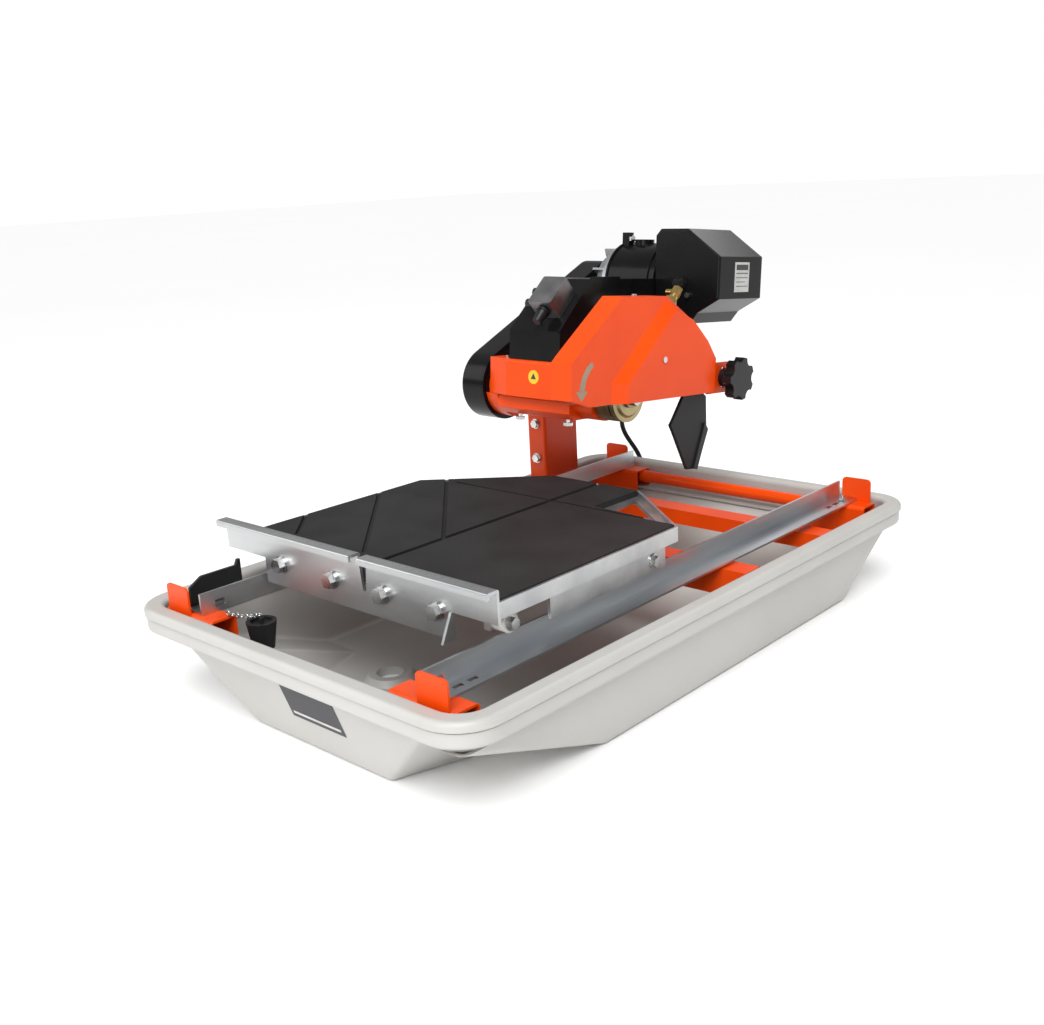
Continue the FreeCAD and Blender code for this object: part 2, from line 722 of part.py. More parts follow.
def make_motor_bracket():
    """A folded steel seat: front wall, slope for the switch box, flat top and two cheeks."""
    body = new_body("motor_bracket_body")
    wall = 4
    outline = [(-42, 49.9), (-42, 97), (39, 178), (203, 178), (203, 70), (120, 49.9)]
    pad(body, "YZ_Plane", -185, -78, [outline])
    inside = [(-42 + wall, 40), (-42 + wall, 95.5), (40.5, 174), (199, 174), (199, 40)]
    pocket(body, "YZ_Plane", -181, -82, [inside])
    lip = [(-44, 97), (-42, 96), (39, 177), (108, 177), (108, 182), (37, 182)]
    pad(body, "YZ_Plane", -82, -78, [lip])
    keep(body, "motor_bracket", True)


def belt_outline(inset, left, right):
    """The shape round both pulleys: two arcs and their outer tangents, as one solid."""
    n = number_of
    low_centre = FreeCAD.Vector(0, n(dim.shaft_v), 0)
    high_centre = FreeCAD.Vector(0, n(dim.motor_v), n(dim.motor_w))
    low_radius, high_radius = n(dim.belt_guard_low) - inset, n(dim.belt_guard_high) - inset
    return tangent_slab(low_centre, high_centre, low_radius, high_radius, left, right)


def tangent_slab(low_centre, high_centre, low_radius, high_radius, left, right):
    run = high_centre - low_centre
    heading = math.atan2(run.z, run.y)
    lean = math.acos((low_radius - high_radius) / run.Length)

    def on(centre, radius, angle):
        return FreeCAD.Vector(left, centre.y + radius * math.cos(angle), centre.z + radius * math.sin(angle))

    upper, lower = heading + lean, heading - lean
    edges = [
        Part.LineSegment(on(low_centre, low_radius, upper), on(high_centre, high_radius, upper)),
        Part.Arc(on(high_centre, high_radius, upper), on(high_centre, high_radius, heading),
                 on(high_centre, high_radius, lower)),
        Part.LineSegment(on(high_centre, high_radius, lower), on(low_centre, low_radius, lower)),
        Part.Arc(on(low_centre, low_radius, lower), on(low_centre, low_radius, heading + math.pi),
                 on(low_centre, low_radius, upper))]
    face = Part.Face(Part.Wire([edge.toShape() for edge in edges]))
    return face.extrude(FreeCAD.Vector(right - left, 0, 0))


def make_belt_guard():
    """A deep drawn oblong cover over the belt, open on its inner side."""
    n = number_of
    left, right, gauge = n(dim.belt_guard_left), n(dim.belt_guard_right), n(dim.sheet)
    outer = belt_outline(0, left, right)
    outer = outer.makeFillet(6, [edge for edge in outer.Edges if edge.BoundBox.XMax < left + 0.1])
    shell = outer.cut(belt_outline(gauge, left + gauge, right + 5))
    keep(shaped("belt_guard_shell", shell), "belt_guard", True)


def make_belt_backplate():
    """The flat plate behind the belt, bolted to the housing's boss, with a slot for the motor."""
    n = number_of
    left = n(dim.belt_guard_right) + 0.3
    plate = belt_outline(0, left, left + 2.5)
    for v, w, radius in ((n(dim.shaft_v), 0, 20), (n(dim.motor_v), n(dim.motor_w), 26)):
        plate = plate.cut(Part.makeCylinder(radius, 10, FreeCAD.Vector(left - 2, v, w), X_AXIS))
    keep(shaped("belt_backplate", plate), "belt_guard_backplate", True)


def make_motor_body():
    """The motor's black drum with its mounting foot, top ear and a shallow cap."""
    centre = (dim.motor_v, dim.motor_w)
    drum = rod("motor_drum", "x", -190, -85.3, centre, dim.motor_radius)
    foot = block("motor_foot", (-176, -92), (203.3, 232), (96, 178))
    ear = block("motor_ear", (-186, -172), (252, 266), (212, 256))
    cap = rod("motor_cap", "z", 225, 244, (-150, dim.motor_v - 8), 17)
    ribs = [rod(f"motor_rib_{x}", "x", x, x + 3, centre, dim.motor_radius + 2.5)
            for x in (-188, -100)]
    bore = rod("motor_bore", "x", -195, -86, centre, 22)
    keep(cut("motor_drum_bored", fused("motor_casting", [drum, foot, ear, cap] + ribs), [bore]),
         "motor_body", True)


def make_motor_end_bell():
    """The aluminium end shield: a ribbed dome with the shaft's bearing boss."""
    centre = (dim.motor_v, dim.motor_w)
    parts = [rod("bell_flange", "x", -200, -190.3, centre, 66),
             cone("bell_dome", "x", -224, -200, centre, 50, 64),
             rod("bell_boss", "x", -231, -223, centre, 20)]
    for index in range(8):
        rib = Part.makeBox(30, 4, 14, FreeCAD.Vector(-226, -2, 50))
        parts.append(turned_rib(f"bell_rib_{index}", rib, index * 45 + 22.5))
    bore = rod("bell_bore", "x", -240, -185, centre, dim.motor_shaft + dim.fit_gap)
    keep(cut("bell_bored", fused("bell_pieces", parts), [bore]), "motor_end_bell", True)


def turned_rib(name, rib, degrees):
    """A rib on the motor's dome, turned about the motor's axis."""
    rib = rib.copy()
    rib.rotate(FreeCAD.Vector(), X_AXIS, degrees)
    rib.translate(FreeCAD.Vector(0, number_of(dim.motor_v), number_of(dim.motor_w)))
    return shaped(name, rib)


def make_motor_end_cover():
    """The boxy end cover with cut corners: hollow, and open towards the drum."""
    body = new_body("end_cover_body")
    outline = [(-85, 112), (-85, 250), (-75, 261), (-20, 261), (46, 216), (46, 147), (4, 123),
               (-10, 105), (-78, 105)]
    pad(body, "XZ_Plane", 212, 346, [outline])
    soften(body, 5, lambda edge: edge.BoundBox.YMin > 345.9)
    soften(body, 4, lambda edge: edge.BoundBox.YMax < 212.1)
    inside = [(-86, 125), (0, 125), (0, 148), (40, 148), (40, 205), (0, 205), (0, 240), (-86, 240)]
    pocket(body, "XZ_Plane", 216, 341, [inside])
    keep(body, "motor_end_cover", True)


def make_nameplate():
    """A thin riveted plate on the end cover, its face left plain."""
    body = new_body("nameplate_body")
    pad(body, "YZ_Plane", 46.1, 46.9, [rectangle(258, 302, 158, 207)])
    keep(body, "nameplate", True)


def make_motor_bolts():
    """The foot's four bolts, the ear's bolt and two screws beside the cable gland."""
    bolts = []
    for x in (-164, -104):
        for w in (110, 160):
            bolts.append(rod(f"foot_bolt_{x}_{w}", "y", 191, 198.9, (x, w), 7, sides=6))
    bolts.append(rod("ear_bolt", "x", -171.9, -167.6, (259, 245), 7, sides=6))
    for x, w in ((-46, 150), (-13, 152)):
        bolts.append(rod(f"gland_screw_{x}", "y", 206.5, 211.9, (x, w), 4.5))
    keep(grouped("motor_bolt_set", bolts), "motor_bolts", True)


def motor_gland():
    """The round gland nut on the front of the end cover where the motor lead goes in."""
    centre = (-28, 172)
    return fused("gland_whole", [rod("gland_nut", "y", 203, 211.9, centre, 11, sides=8),
                                 cone("gland_cap", "y", 194, 203, centre, 7, 10)])


def make_motor_rotor():
    centre = (dim.motor_v, dim.motor_w)
    parts = [rod("rotor_shaft", "x", -282, -110, centre, dim.motor_shaft),
             rod("rotor_key", "x", -186, -184, centre, dim.motor_shaft + 6)]
    keep(fused("rotor_whole", parts), "motor_shaft", True)


def grooved_pulley(name, centre, ring, bore):
    """A V-belt pulley: rim with a groove, hub with a bore."""
    left, right = dim.pulley_left, dim.pulley_right
    middle = (left + right) / 2
    disc = rod(name + "_disc", "x", left, right - 6, centre, ring)
    hub = rod(name + "_hub", "x", right - 8, right, centre, ring * 0.55)
    waist = rod(name + "_waist", "x", middle - 9.5, middle + 2.5, centre, ring + 6)
    core = rod(name + "_core", "x", middle - 12, middle + 5, centre, ring - 7)
    hole = rod(name + "_bore", "x", left - 1, right + 1, centre, bore + dim.fit_gap)
    groove_ring = cut(name + "_groove", waist, [core])
    return cut(name + "_turned", fused(name + "_blank", [disc, hub]), [groove_ring, hole])


def make_pulleys():
    keep(grooved_pulley("spindle_wheel", (dim.shaft_v, 0), dim.pulley_ring, dim.shaft_radius),
         "spindle_pulley", True)
    keep(grooved_pulley("motor_wheel", (dim.motor_v, dim.motor_w), dim.motor_pulley_ring,
                        dim.motor_shaft), "motor_pulley", True)


def make_drive_belt():
    """A V-belt round both pulleys, standing clear of the grooves' floors."""
    n = number_of
    middle = (n(dim.pulley_left) + n(dim.pulley_right)) / 2 - 3.5
    low = FreeCAD.Vector(0, n(dim.shaft_v), 0)
    high = FreeCAD.Vector(0, n(dim.motor_v), n(dim.motor_w))
    outer = tangent_slab(low, high, n(dim.pulley_ring) - 0.4, n(dim.motor_pulley_ring) - 0.4,
                         middle - 5, middle + 5)
    inner = tangent_slab(low, high, n(dim.pulley_ring) - 6.5, n(dim.motor_pulley_ring) - 6.5,
                         middle - 6, middle + 6)
    keep(shaped("belt_loop", outer.cut(inner)), "drive_belt", True)


def make_spindle():
    """The arbor: pulley end, long shaft, shoulder and threaded nose."""
    centre = (dim.shaft_v, 0)
    parts = [rod("arbor_shaft", "x", dim.pulley_left - 3, 20, centre, dim.shaft_radius),
             rod("arbor_nose", "x", 19, 39, centre, 8)]
    keep(fused("arbor_whole", parts), "spindle_shaft", True)
    inner = [rod("inner_drum", "x", -19.5, 7.5, centre, dim.flange_radius),
             rod("inner_waist", "x", 7, 9, centre, dim.flange_radius - 4)]
    bore = rod("inner_bore", "x", -25, 15, centre, dim.shaft_radius + dim.fit_gap)
    keep(cut("inner_flange_turned", fused("inner_blank", inner), [bore]), "inner_flange", True)
    outer = [rod("outer_disc", "x", 9.6, 19, centre, dim.flange_radius),
             cone("outer_step", "x", 18.9, 22.5, centre, 33, 29),
             rod("outer_hub", "x", 22, 27, centre, 17)]
    outer_bore = [rod("outer_bore", "x", 9, 20.1, centre, dim.shaft_radius + dim.fit_gap),
                  rod("outer_bore_small", "x", 9, 40, centre, 8 + dim.fit_gap)]
    keep(cut("outer_flange_turned", fused("outer_blank", outer), outer_bore), "outer_flange", True)
    nut = rod("nut_hexagon", "x", 27.2, 37, centre, 13, sides=6)
    nut_bore = rod("nut_bore", "x", 26, 41, centre, 8 + dim.fit_gap)
    keep(cut("nut_tapped", nut, [nut_bore]), "arbor_nut", True)


# ---------------------------------------------------------------- switch, fittings

def on_slope(item, place):
    """Turns a piece drawn flat at the origin onto the bracket's 45 degree slope."""
    item.Placement = FreeCAD.Placement(
        FreeCAD.Vector(*place), FreeCAD.Rotation(X_AXIS, 45)).multiply(item.Placement)
    return item


def make_switch():
    """A zinc plated utility box on the slope, with its lid, toggle and two cable glands."""
    place = (-118, -6, 133.8)
    body = new_body("switch_box_body")
    pad(body, "XY_Plane", 0, 36, [rectangle(-24, 24, -24, 32)])
    soften(body, 3, along(Z_AXIS))
    pocket(body, "XY_Plane", 2, 34, [rectangle(-22, 22, -22, 30)])
    keep(on_slope(body, place), "switch_box", True)
    boot = fused("toggle_boot", [
        rod("toggle_collar", "y", -30, -26.5, (2, 19), 11),
        cone("toggle_sleeve", "y", -50, -29, (2, 19), 7, 9.5)])
    keep(on_slope(boot, place), "switch_toggle", True)
    glands = []
    for name, y in (("low", -11), ("high", 13)):
        glands.append(fused(f"box_gland_{name}", [
            rod(f"box_gland_nut_{name}", "x", -32, -24.3, (y, 18), 9.5, sides=6),
            rod(f"box_gland_cap_{name}", "x", -42, -31, (y, 18), 7.5)]))
    box_glands = on_slope(grouped("box_gland_set", glands), place)
    keep(grouped("gland_set", [box_glands, motor_gland()]), "cable_glands", True)


def make_water_fitting():
    """A brass elbow on the guard's rear slope for the water line."""
    slope = FreeCAD.Rotation(X_AXIS, -47)
    place = FreeCAD.Vector(8, 124, 137.5)
    parts = [rod("fitting_hex", "z", 1, 13, (0, 0), 11, sides=6),
             rod("fitting_neck", "z", 12, 23, (0, 0), 7),
             rod("fitting_barb", "z", 22, 38, (0, 0), 9, sides=6),
             rod("fitting_side", "x", -18, 0, (0, 30), 5.5)]
    whole = fused("fitting_whole", parts)
    whole.Placement = FreeCAD.Placement(place, slope)
    keep(whole, "water_fitting", True)


# ---------------------------------------------------------------- blade guard

GUARD_OUTLINE = (("front", 5.5), (-97, "base"), ("rear", "base"), ("rear", 38), (216, 59), (198, 83),
                 (154, 119), (89, 154), (-23, "top"), (-131, 69), ("front", 60))


def guard_points(inset, x):
    """The guard's side outline on the plane x, drawn in towards its middle by inset."""
    n = number_of
    named = {"front": n(dim.guard_front), "rear": n(dim.guard_rear), "base": n(dim.guard_base),
             "top": n(dim.guard_top)}
    middle_v, middle_w = 40, 60
    points = []
    for v, w in GUARD_OUTLINE:
        v, w = named.get(v, v), named.get(w, w)
        below = inset and w < 10
        shift_v = -math.copysign(inset, v - middle_v)
        shift_w = -20 if below else -inset * (1 if w > middle_w else 0)
        points.append(FreeCAD.Vector(x, v + shift_v, w + shift_w))
    return points


def swell_points(inset, x, spread):
    """The raised lower panel's outline: its band runs up the guard's side, then along the rear."""
    base = number_of(dim.guard_base) - (20 if inset else 0)
    corners = ((-46 + spread * 28, base), (-46 + spread * 28, 24), (86 + spread * 16, 148 - spread * 14),
               (153 - spread * 3, 118 - spread * 3), (197 - spread * 3, 82 - spread * 2),
               (223 - spread * 3, 50), (223 - spread * 3, base))
    return [FreeCAD.Vector(x, v + (inset if v < 60 else -inset), w - (inset if w > 40 else 0))
            for v, w in corners]


def guard_form(inset):
    n = number_of
    left, right = n(dim.guard_left) + inset, n(dim.guard_right) - inset
    plate = Part.Face(closed_wire(guard_points(inset, left)))
    form = plate.extrude(FreeCAD.Vector(right - left, 0, 0))
    swell = ruled_solid(swell_points(inset, right - 0.05, 0),
                        swell_points(inset, right + n(dim.guard_swell), 1))
    return form.fuse(swell).removeSplitter()


def make_blade_guard():
    """The pressed steel guard: open below, its right side swollen for the arbor nut."""
    outer = guard_form(0)
    base = number_of(dim.guard_base)
    sides = [edge for edge in outer.Edges
             if edge.BoundBox.ZMin > base + 1 and (edge.BoundBox.XMin > 29.9 or edge.BoundBox.XMax < -9.9)
             and edge.Length > 12]
    outer = rounded(outer, sides, 4)
    tab = Part.makeBox(4.5, 61, 52, FreeCAD.Vector(22, 223, -12))
    stud_v, stud_w = KNOB_AT
    slot_ends = [Part.makeCylinder(6.2, 20, FreeCAD.Vector(12, stud_v, w), X_AXIS)
                 for w in (stud_w - 12, stud_w + 12)]
    stud_slot = slot_ends[0].fuse([
        slot_ends[1], Part.makeBox(20, 12.4, 24, FreeCAD.Vector(12, stud_v - 6.2, stud_w - 12))])
    hub = Part.makeCylinder(43, 42, FreeCAD.Vector(-40, number_of(dim.shaft_v), 0), X_AXIS)
    shell = outer.cut(guard_form(number_of(dim.sheet)))
    shell = shell.cut(hub).fuse(tab.cut(stud_slot))
    keep(shaped("guard_shell", shell), "blade_guard", True)


def make_guard_screws():
    """The round headed screw on the swollen panel and one behind it."""
    screws = [rod("guard_screw_side", "x", 42.1, 44.6, (72, 56), 5),
              rod("guard_screw_top", "z", 155.2, 157.5, (10, 30), 4.5)]
    keep(grouped("guard_screw_set", screws), "guard_screws", True)


def make_flap():
    """A stiff rubber splash flap hung inside the guard's rear end, with a strip clamped to its edge."""
    sheet_body = new_body("flap_body")
    outline = [(168, 24), (219, 24), (219, -8), (232, -16), (237, -73), (204, -138), (181, -137),
               (131, -57), (166, -9)]
    pad(sheet_body, "YZ_Plane", 12, 19, [outline])
    strip = new_body("flap_strip_body")
    pad(strip, "YZ_Plane", 19.3, 25, [[(229, -71), (238, -73), (206, -140), (195, -139)]])
    keep(grouped("flap_set", [sheet_body, strip]), "splash_flap", True)


KNOB_AT = (268, 14)         # the clamp stud's v and w in the head


def make_knob():
    """A seven lobed clamping knob on a stud along X, behind the guard."""
    centre = FreeCAD.Vector(48, KNOB_AT[0], KNOB_AT[1])
    disc = Part.makeCylinder(36, 17, centre, X_AXIS)
    for index in range(7):
        angle = 2 * math.pi * index / 7
        bite = Part.makeCylinder(12.2, 30, FreeCAD.Vector(
            40, centre.y + 41 * math.cos(angle), centre.z + 41 * math.sin(angle)), X_AXIS)
        disc = disc.cut(bite)
    hub = Part.makeCylinder(16, 22, FreeCAD.Vector(27, *KNOB_AT), X_AXIS)
    bore = Part.makeCylinder(5 + number_of(dim.fit_gap), 30, FreeCAD.Vector(20, *KNOB_AT), X_AXIS)
    knob = disc.fuse(hub).cut(bore)
    keep(shaped("knob_whole", knob), "star_knob", True)
    stud = fused("stud_whole", [rod("stud_shank", "x", -18, 49.5, KNOB_AT, 5),
                                rod("stud_head", "x", -21, -15.7, KNOB_AT, 9, sides=6)])
    keep(stud, "knob_stud", True)


def make_guard_arm():
    """A flat bar from the housing back past the guard, that the knob clamps the guard to."""
    body = new_body("guard_arm_body")
    pad(body, "YZ_Plane", -15.5, -11.5, [rectangle(54.4, 284, -2, 30)])
    pad(body, "YZ_Plane", -60, -11.5, [rectangle(54.4, 60.4, -26, 22)])
    pocket(body, "YZ_Plane", -20, -8, [("circle", KNOB_AT, 5.05)])
    keep(body, "guard_arm", True)


# ---------------------------------------------------------------- table, fence and rollers

def table_plan():
    """The table's outline from above: both rear corners are cut."""
    n = number_of
    left, right, front = n(dim.table_left), n(dim.table_right), n(from_front(dim.table_front))
    shoulder_left, shoulder_right = n(from_front(494)), n(from_front(512))
    rear = n(from_front(dim.table_rear))
    return [(left, front), (right, front), (right, shoulder_right), (86, rear), (-86, rear),
            (left, shoulder_left)]


def make_table():
    """The cast table: a plate with a down turned edge, two side walls and bosses for the axles."""
    n = number_of
    plate_top, edge = n(dim.plate_top), n(dim.table_edge)
    plan = [FreeCAD.Vector(x, y, plate_top - 6) for x, y in table_plan()]
    plate = Part.Face(closed_wire(plan)).extrude(FreeCAD.Vector(0, 0, 6))
    rim_wire = Part.Face(closed_wire(plan)).makeOffset2D(-7)
    apron = Part.Face(closed_wire([point + FreeCAD.Vector(0, 0, 6 - edge) for point in plan]))
    apron = apron.extrude(FreeCAD.Vector(0, 0, edge))
    rim_wire.translate(FreeCAD.Vector(0, 0, -20))
    apron = apron.cut(rim_wire.extrude(FreeCAD.Vector(0, 0, 60)))
    bead = Part.Face(closed_wire([point + FreeCAD.Vector(0, 0, 6) for point in plan]))
    bead = bead.extrude(FreeCAD.Vector(0, 0, n(dim.pad_thick) - 2))
    inner_wire = Part.Face(closed_wire(plan)).makeOffset2D(-4)
    inner_wire.translate(FreeCAD.Vector(0, 0, -20))
    bead = bead.cut(inner_wire.extrude(FreeCAD.Vector(0, 0, 60)))
    table = plate.fuse([apron, bead])
    for left, right, rail in ((229, 234, dim.rail_right), (-222, -217, -dim.rail_left)):
        front, back = n(from_front(252)), n(from_front(490))
        wall = Part.makeBox(right - left, back - front, plate_top - 172, FreeCAD.Vector(left, front, 172))
        table = table.fuse(wall)
        hang = n(rail) - 22.3 if left > 0 else n(rail) + 12.3
        for y in (n(from_front(dim.roller_front)), n(from_front(dim.roller_rear))):
            boss = Part.makeBox(10, 30, plate_top - 176, FreeCAD.Vector(hang, y - 15, 176))
            table = table.fuse(boss)
    slot = Part.makeBox(n(dim.slot_wide), 520, 60, FreeCAD.Vector(
        n(dim.slot_x) - n(dim.slot_wide) / 2, n(from_front(dim.table_front)) + 10, 180))
    window = Part.Face(closed_wire([FreeCAD.Vector(x, n(from_front(y)), 150) for x, y in (
        (104, 530), (92, 610), (204, 521))])).extrude(FreeCAD.Vector(0, 0, 120))
    table = table.cut([slot, window])
    for rail_x in (n(dim.rail_right), -n(dim.rail_left)):
        for y in (n(from_front(dim.roller_front)), n(from_front(dim.roller_rear))):
            table = table.cut(Part.makeCylinder(
                n(dim.axle_radius + dim.fit_gap), 90, FreeCAD.Vector(rail_x - 45, y, axle_height()), X_AXIS))
    keep(shaped("table_casting", table.removeSplitter()), "table_frame")


def axle_height():
    """Rollers stand on the rails' upright legs."""
    return number_of(dim.rail_base + dim.rail_height + dim.roller_radius)


def make_pads():
    """Black rubber pads on the plate, parted by the blade slot and by grooves at 45 degrees."""
    n = number_of
    low, thick = n(dim.plate_top) + 0.05, n(dim.pad_thick)
    plan = Part.Face(closed_wire([FreeCAD.Vector(x, y, low) for x, y in table_plan()]))
    sheet_face = plan.makeOffset2D(-4.6)
    pads = sheet_face.extrude(FreeCAD.Vector(0, 0, thick))
    cuts = [Part.makeBox(n(dim.slot_wide), 900, 60, FreeCAD.Vector(
        n(dim.slot_x) - n(dim.slot_wide) / 2, n(from_front(100)), 180))]
    for x, y in ((-180, 189), (-36, 189), (10, 291)):
        cuts.append(groove(x, n(from_front(y)), 135, 420, 6))
    cuts.append(groove(-190, n(from_front(514)), 0, 460, 5))
    cuts.append(Part.Face(closed_wire([FreeCAD.Vector(x, n(from_front(y)), 150) for x, y in (
        (84, 524), (86, 650), (260, 560), (236, 512))])).extrude(FreeCAD.Vector(0, 0, 120)))
    pads = pads.cut(cuts)
    keep(shaped("pad_set", pads), "rubber_pads")


def groove(x, y, degrees, length, width):
    """A straight cutter for the pads' upper 4 mm, from a point on its middle line."""
    bar = Part.makeBox(length, width, 60, FreeCAD.Vector(0, -width / 2, 0))
    bar.rotate(FreeCAD.Vector(), Z_AXIS, degrees)
    bar.translate(FreeCAD.Vector(x, y, number_of(dim.plate_top) + 5))
    return bar


def make_fence():
    """The pressed fence: an upright plate with a folded lip on top, a foot plate and a blade slot."""
    body = new_body("fence_body")
    plane, gauge = from_front(dim.fence_y), dim.fence_gauge
    top, base = dim.fence_top, dim.fence_base
    plate = [(dim.fence_left, base), (-202, base), (-202, dim.fence_foot), (170, dim.fence_foot),
             (170, base), (dim.fence_right, base), (dim.fence_right, top), (dim.fence_left, top)]
    pad(body, "XZ_Plane", plane - gauge, plane, [plate])
    pad(body, "XZ_Plane", plane - dim.fence_lip, plane,
        [rectangle(dim.fence_left, dim.fence_right, top - gauge, top)])
    pad(body, "XZ_Plane", plane - dim.fence_lip, plane - dim.fence_lip + gauge,
        [rectangle(dim.fence_left, dim.fence_right, top - 9, top)])
    pad(body, "YZ_Plane", 166, 170, [[(plane - 22, dim.fence_foot), (plane - 1, dim.fence_foot),
                                     (plane - 1, base), (plane - 5, base)]])
    level = number_of(top) - 0.01
    soften(body, 3, along(X_AXIS, lambda edge: edge.Vertexes[0].Z > level))
    slot = [(blade_x - 8, top + 1), (blade_x + 8, top + 1), (blade_x + 7, top - 14),
            (blade_x + 3, 193), (blade_x - 3, 193), (blade_x - 7, top - 14)]
    pocket(body, "XZ_Plane", plane - 40, plane + 5, [slot])
    keep(body, "fence")


def make_fence_bolts():
    """Four washer faced hexagon bolts through the fence into the table's front edge."""
    face = from_front(dim.fence_y) - dim.fence_gauge
    bolts = []
    for index, x in enumerate((-163, -54, 46, 145)):
        centre = (x, 196)
        bolts.append(fused(f"fence_bolt_{index}", [
            rod(f"fence_washer_{index}", "y", face - 2.2, face - 0.1, centre, 13),
            rod(f"fence_flange_{index}", "y", face - 4, face - 2, centre, 11.5),
            rod(f"fence_head_{index}", "y", face - 12, face - 3.8, centre, 10.5, sides=6)]))
    keep(grouped("fence_bolt_set", bolts), "fence_bolts")


def make_fence_bracket():
    """The folded angle behind the fence that bolts it under the table's front edge."""
    body = new_body("fence_bracket_body")
    plane = from_front(dim.fence_y)
    outline = [(plane + 0.1, 164), (plane + 3, 164), (plane + 3, 199), (plane + 30, 199),
               (plane + 30, 202), (plane + 0.1, 202)]
    pad(body, "YZ_Plane", -183, 166, [outline])
    pocket(body, "XZ_Plane", plane - 1, plane + 31, [rectangle(3, 17, 190, 203)])
    keep(body, "fence_bracket")


def make_rollers():
    """Four nylon rollers on the rails, each on a shouldered bolt with a washer."""
    height = axle_height()
    bolts = []
    for side, rail in (("left", -dim.rail_left), ("right", dim.rail_right)):
        sign = -1 if side == "left" else 1
        for end, distance in (("front", dim.roller_front), ("rear", dim.roller_rear)):
            name = f"roller_{end}_{side}"
            centre = (from_front(distance), height)
            low, high = ((rail - 12, rail + 8) if sign > 0 else (rail - 8, rail + 12))
            tyre = rod(name + "_tyre", "x", low, high, centre, dim.roller_radius)
            hole = rod(name + "_hole", "x", low - 1, high + 1, centre, dim.axle_radius + dim.fit_gap)
            keep(cut(name + "_turned", tyre, [hole]), name)
            shank_low, shank_high = (rail - 22, rail + 15) if sign > 0 else (rail - 15, rail + 22)
            near = 8.4 if end == "front" else 14.2
            head_low, head_high = ((rail + near, rail + near + 8) if sign > 0
                                   else (rail - near - 8, rail - near))
            bolts.append(fused(f"axle_{end}_{side}", [
                rod(f"axle_shank_{end}_{side}", "x", shank_low, shank_high, centre, dim.axle_radius),
                rod(f"axle_washer_{end}_{side}", "x", head_low if sign > 0 else head_high - 2,
                    head_low + 2 if sign > 0 else head_high, centre, 10),
                rod(f"axle_head_{end}_{side}", "x", head_low, head_high, centre, 8, sides=6)]))
    keep(grouped("axle_set", bolts), "roller_axles")


# ---------------------------------------------------------------- power cord

COIL_CENTRE = (-120.0, 612.0)
COIL_HIGH = 17.2
# The cord leaves the relief under the motor, hangs over the rear rim and lies on the floor.
CORD_ROUTE = [(-160, 440.16, 390.54), (-160, 435.3, 336.8), (-212, 484, 268), (-284, 528, 208),
              (-246, 551, 140), (-241, 553, 88), (-226, 554, 34), (-190, 553.5, 4.6),
              (-150, 553, 4.6)]


def make_strain_relief():
    """A stiff sleeve below the motor that the power cord hangs from."""
    centre = (-160, dim.motor_v)
    parts = [rod("relief_nut", "z", 88, 97.6, centre, 9.5, sides=6),
             cone("relief_sleeve", "z", 64, 88.5, centre, dim.cord_radius + 1, 8)]
    bore = rod("relief_bore", "z", 63, 80, centre, dim.cord_radius)
    keep(cut("relief_bored", fused("relief_whole", parts), [bore]), "cord_strain_relief", True)


def make_power_cord():
    """The cord's hanging stretch: straight runs joined by tangent arcs, and its checked volume."""
    points = [FreeCAD.Vector(*point) for point in CORD_ROUTE]
    edges, here = [], points[0]
    for before, corner, after in zip(points, points[1:], points[2:]):
        arriving, leaving = (corner - before), (after - corner)
        turn = arriving.getAngle(leaving)
        shorter = min(arriving.Length, leaving.Length)
        setback = 0.45 * shorter
        radius = setback / math.tan(turn / 2)
        arriving.normalize()
        leaving.normalize()
        entry, leave = corner - arriving * setback, corner + leaving * setback
        inward = (leaving - arriving).normalize()
        middle = corner + inward * (radius / math.cos(turn / 2) - radius)
        edges += [Part.LineSegment(here, entry).toShape(), Part.Arc(entry, middle, leave).toShape()]
        here = leave
        print(f"cord corner radius {radius:.1f} mm, turn {math.degrees(turn):.0f} degrees")
    edges.append(Part.LineSegment(here, points[-1]).toShape())
    length = sum(edge.Length for edge in edges)
    radius = number_of(dim.cord_radius)
    ring = Part.Wire(Part.makeCircle(radius, points[0], points[1] - points[0]))
    tube = Part.Wire(edges).makePipeShell([ring], True, True)
    expected = math.pi * radius ** 2 * length
    print(f"cord tube {length:.0f} mm long, volume {tube.Volume:.0f} of {expected:.0f} mm3")
    keep(shaped("cord_tube", tube), "power_cord")


def make_cord_coil():
    """The put away length as one ring: five turns beside and on each other."""
    diameter = dim.cord_radius * 2
    ring = rod("coil_ring", "z", 0, COIL_HIGH, COIL_CENTRE, diameter * 7.1)
    hollow = rod("coil_hollow", "z", -1, COIL_HIGH + 1, COIL_CENTRE, diameter * 4)
    keep(cut("coil_whole", ring, [hollow]), "cord_coil")


def make_power_plug():
    """A moulded plug lying on the coil, with two flat blades and a round earth pin."""
    x, y = COIL_CENTRE
    side, rest = y - 40, COIL_HIGH + 0.1
    parts = [cone("plug_sleeve", "x", x - 18.6, x + 0.4, (side, rest + 9), 6, 7.5),
             block("plug_moulding", (x - 0.6, x + 31.4), (side - 12, side + 12), (rest, rest + 18)),
             rod("plug_earth", "x", x + 30.4, x + 50.4, (side, rest + 4.5), 2.4)]
    for name, shift in (("near", -7), ("far", 5.5)):
        parts.append(block(f"plug_blade_{name}", (x + 30.4, x + 47.4),
                           (side + shift, side + shift + 1.5), (rest + 9, rest + 15)))
    keep(fused("plug_moulded", parts), "power_plug")


# ---------------------------------------------------------------- making everything

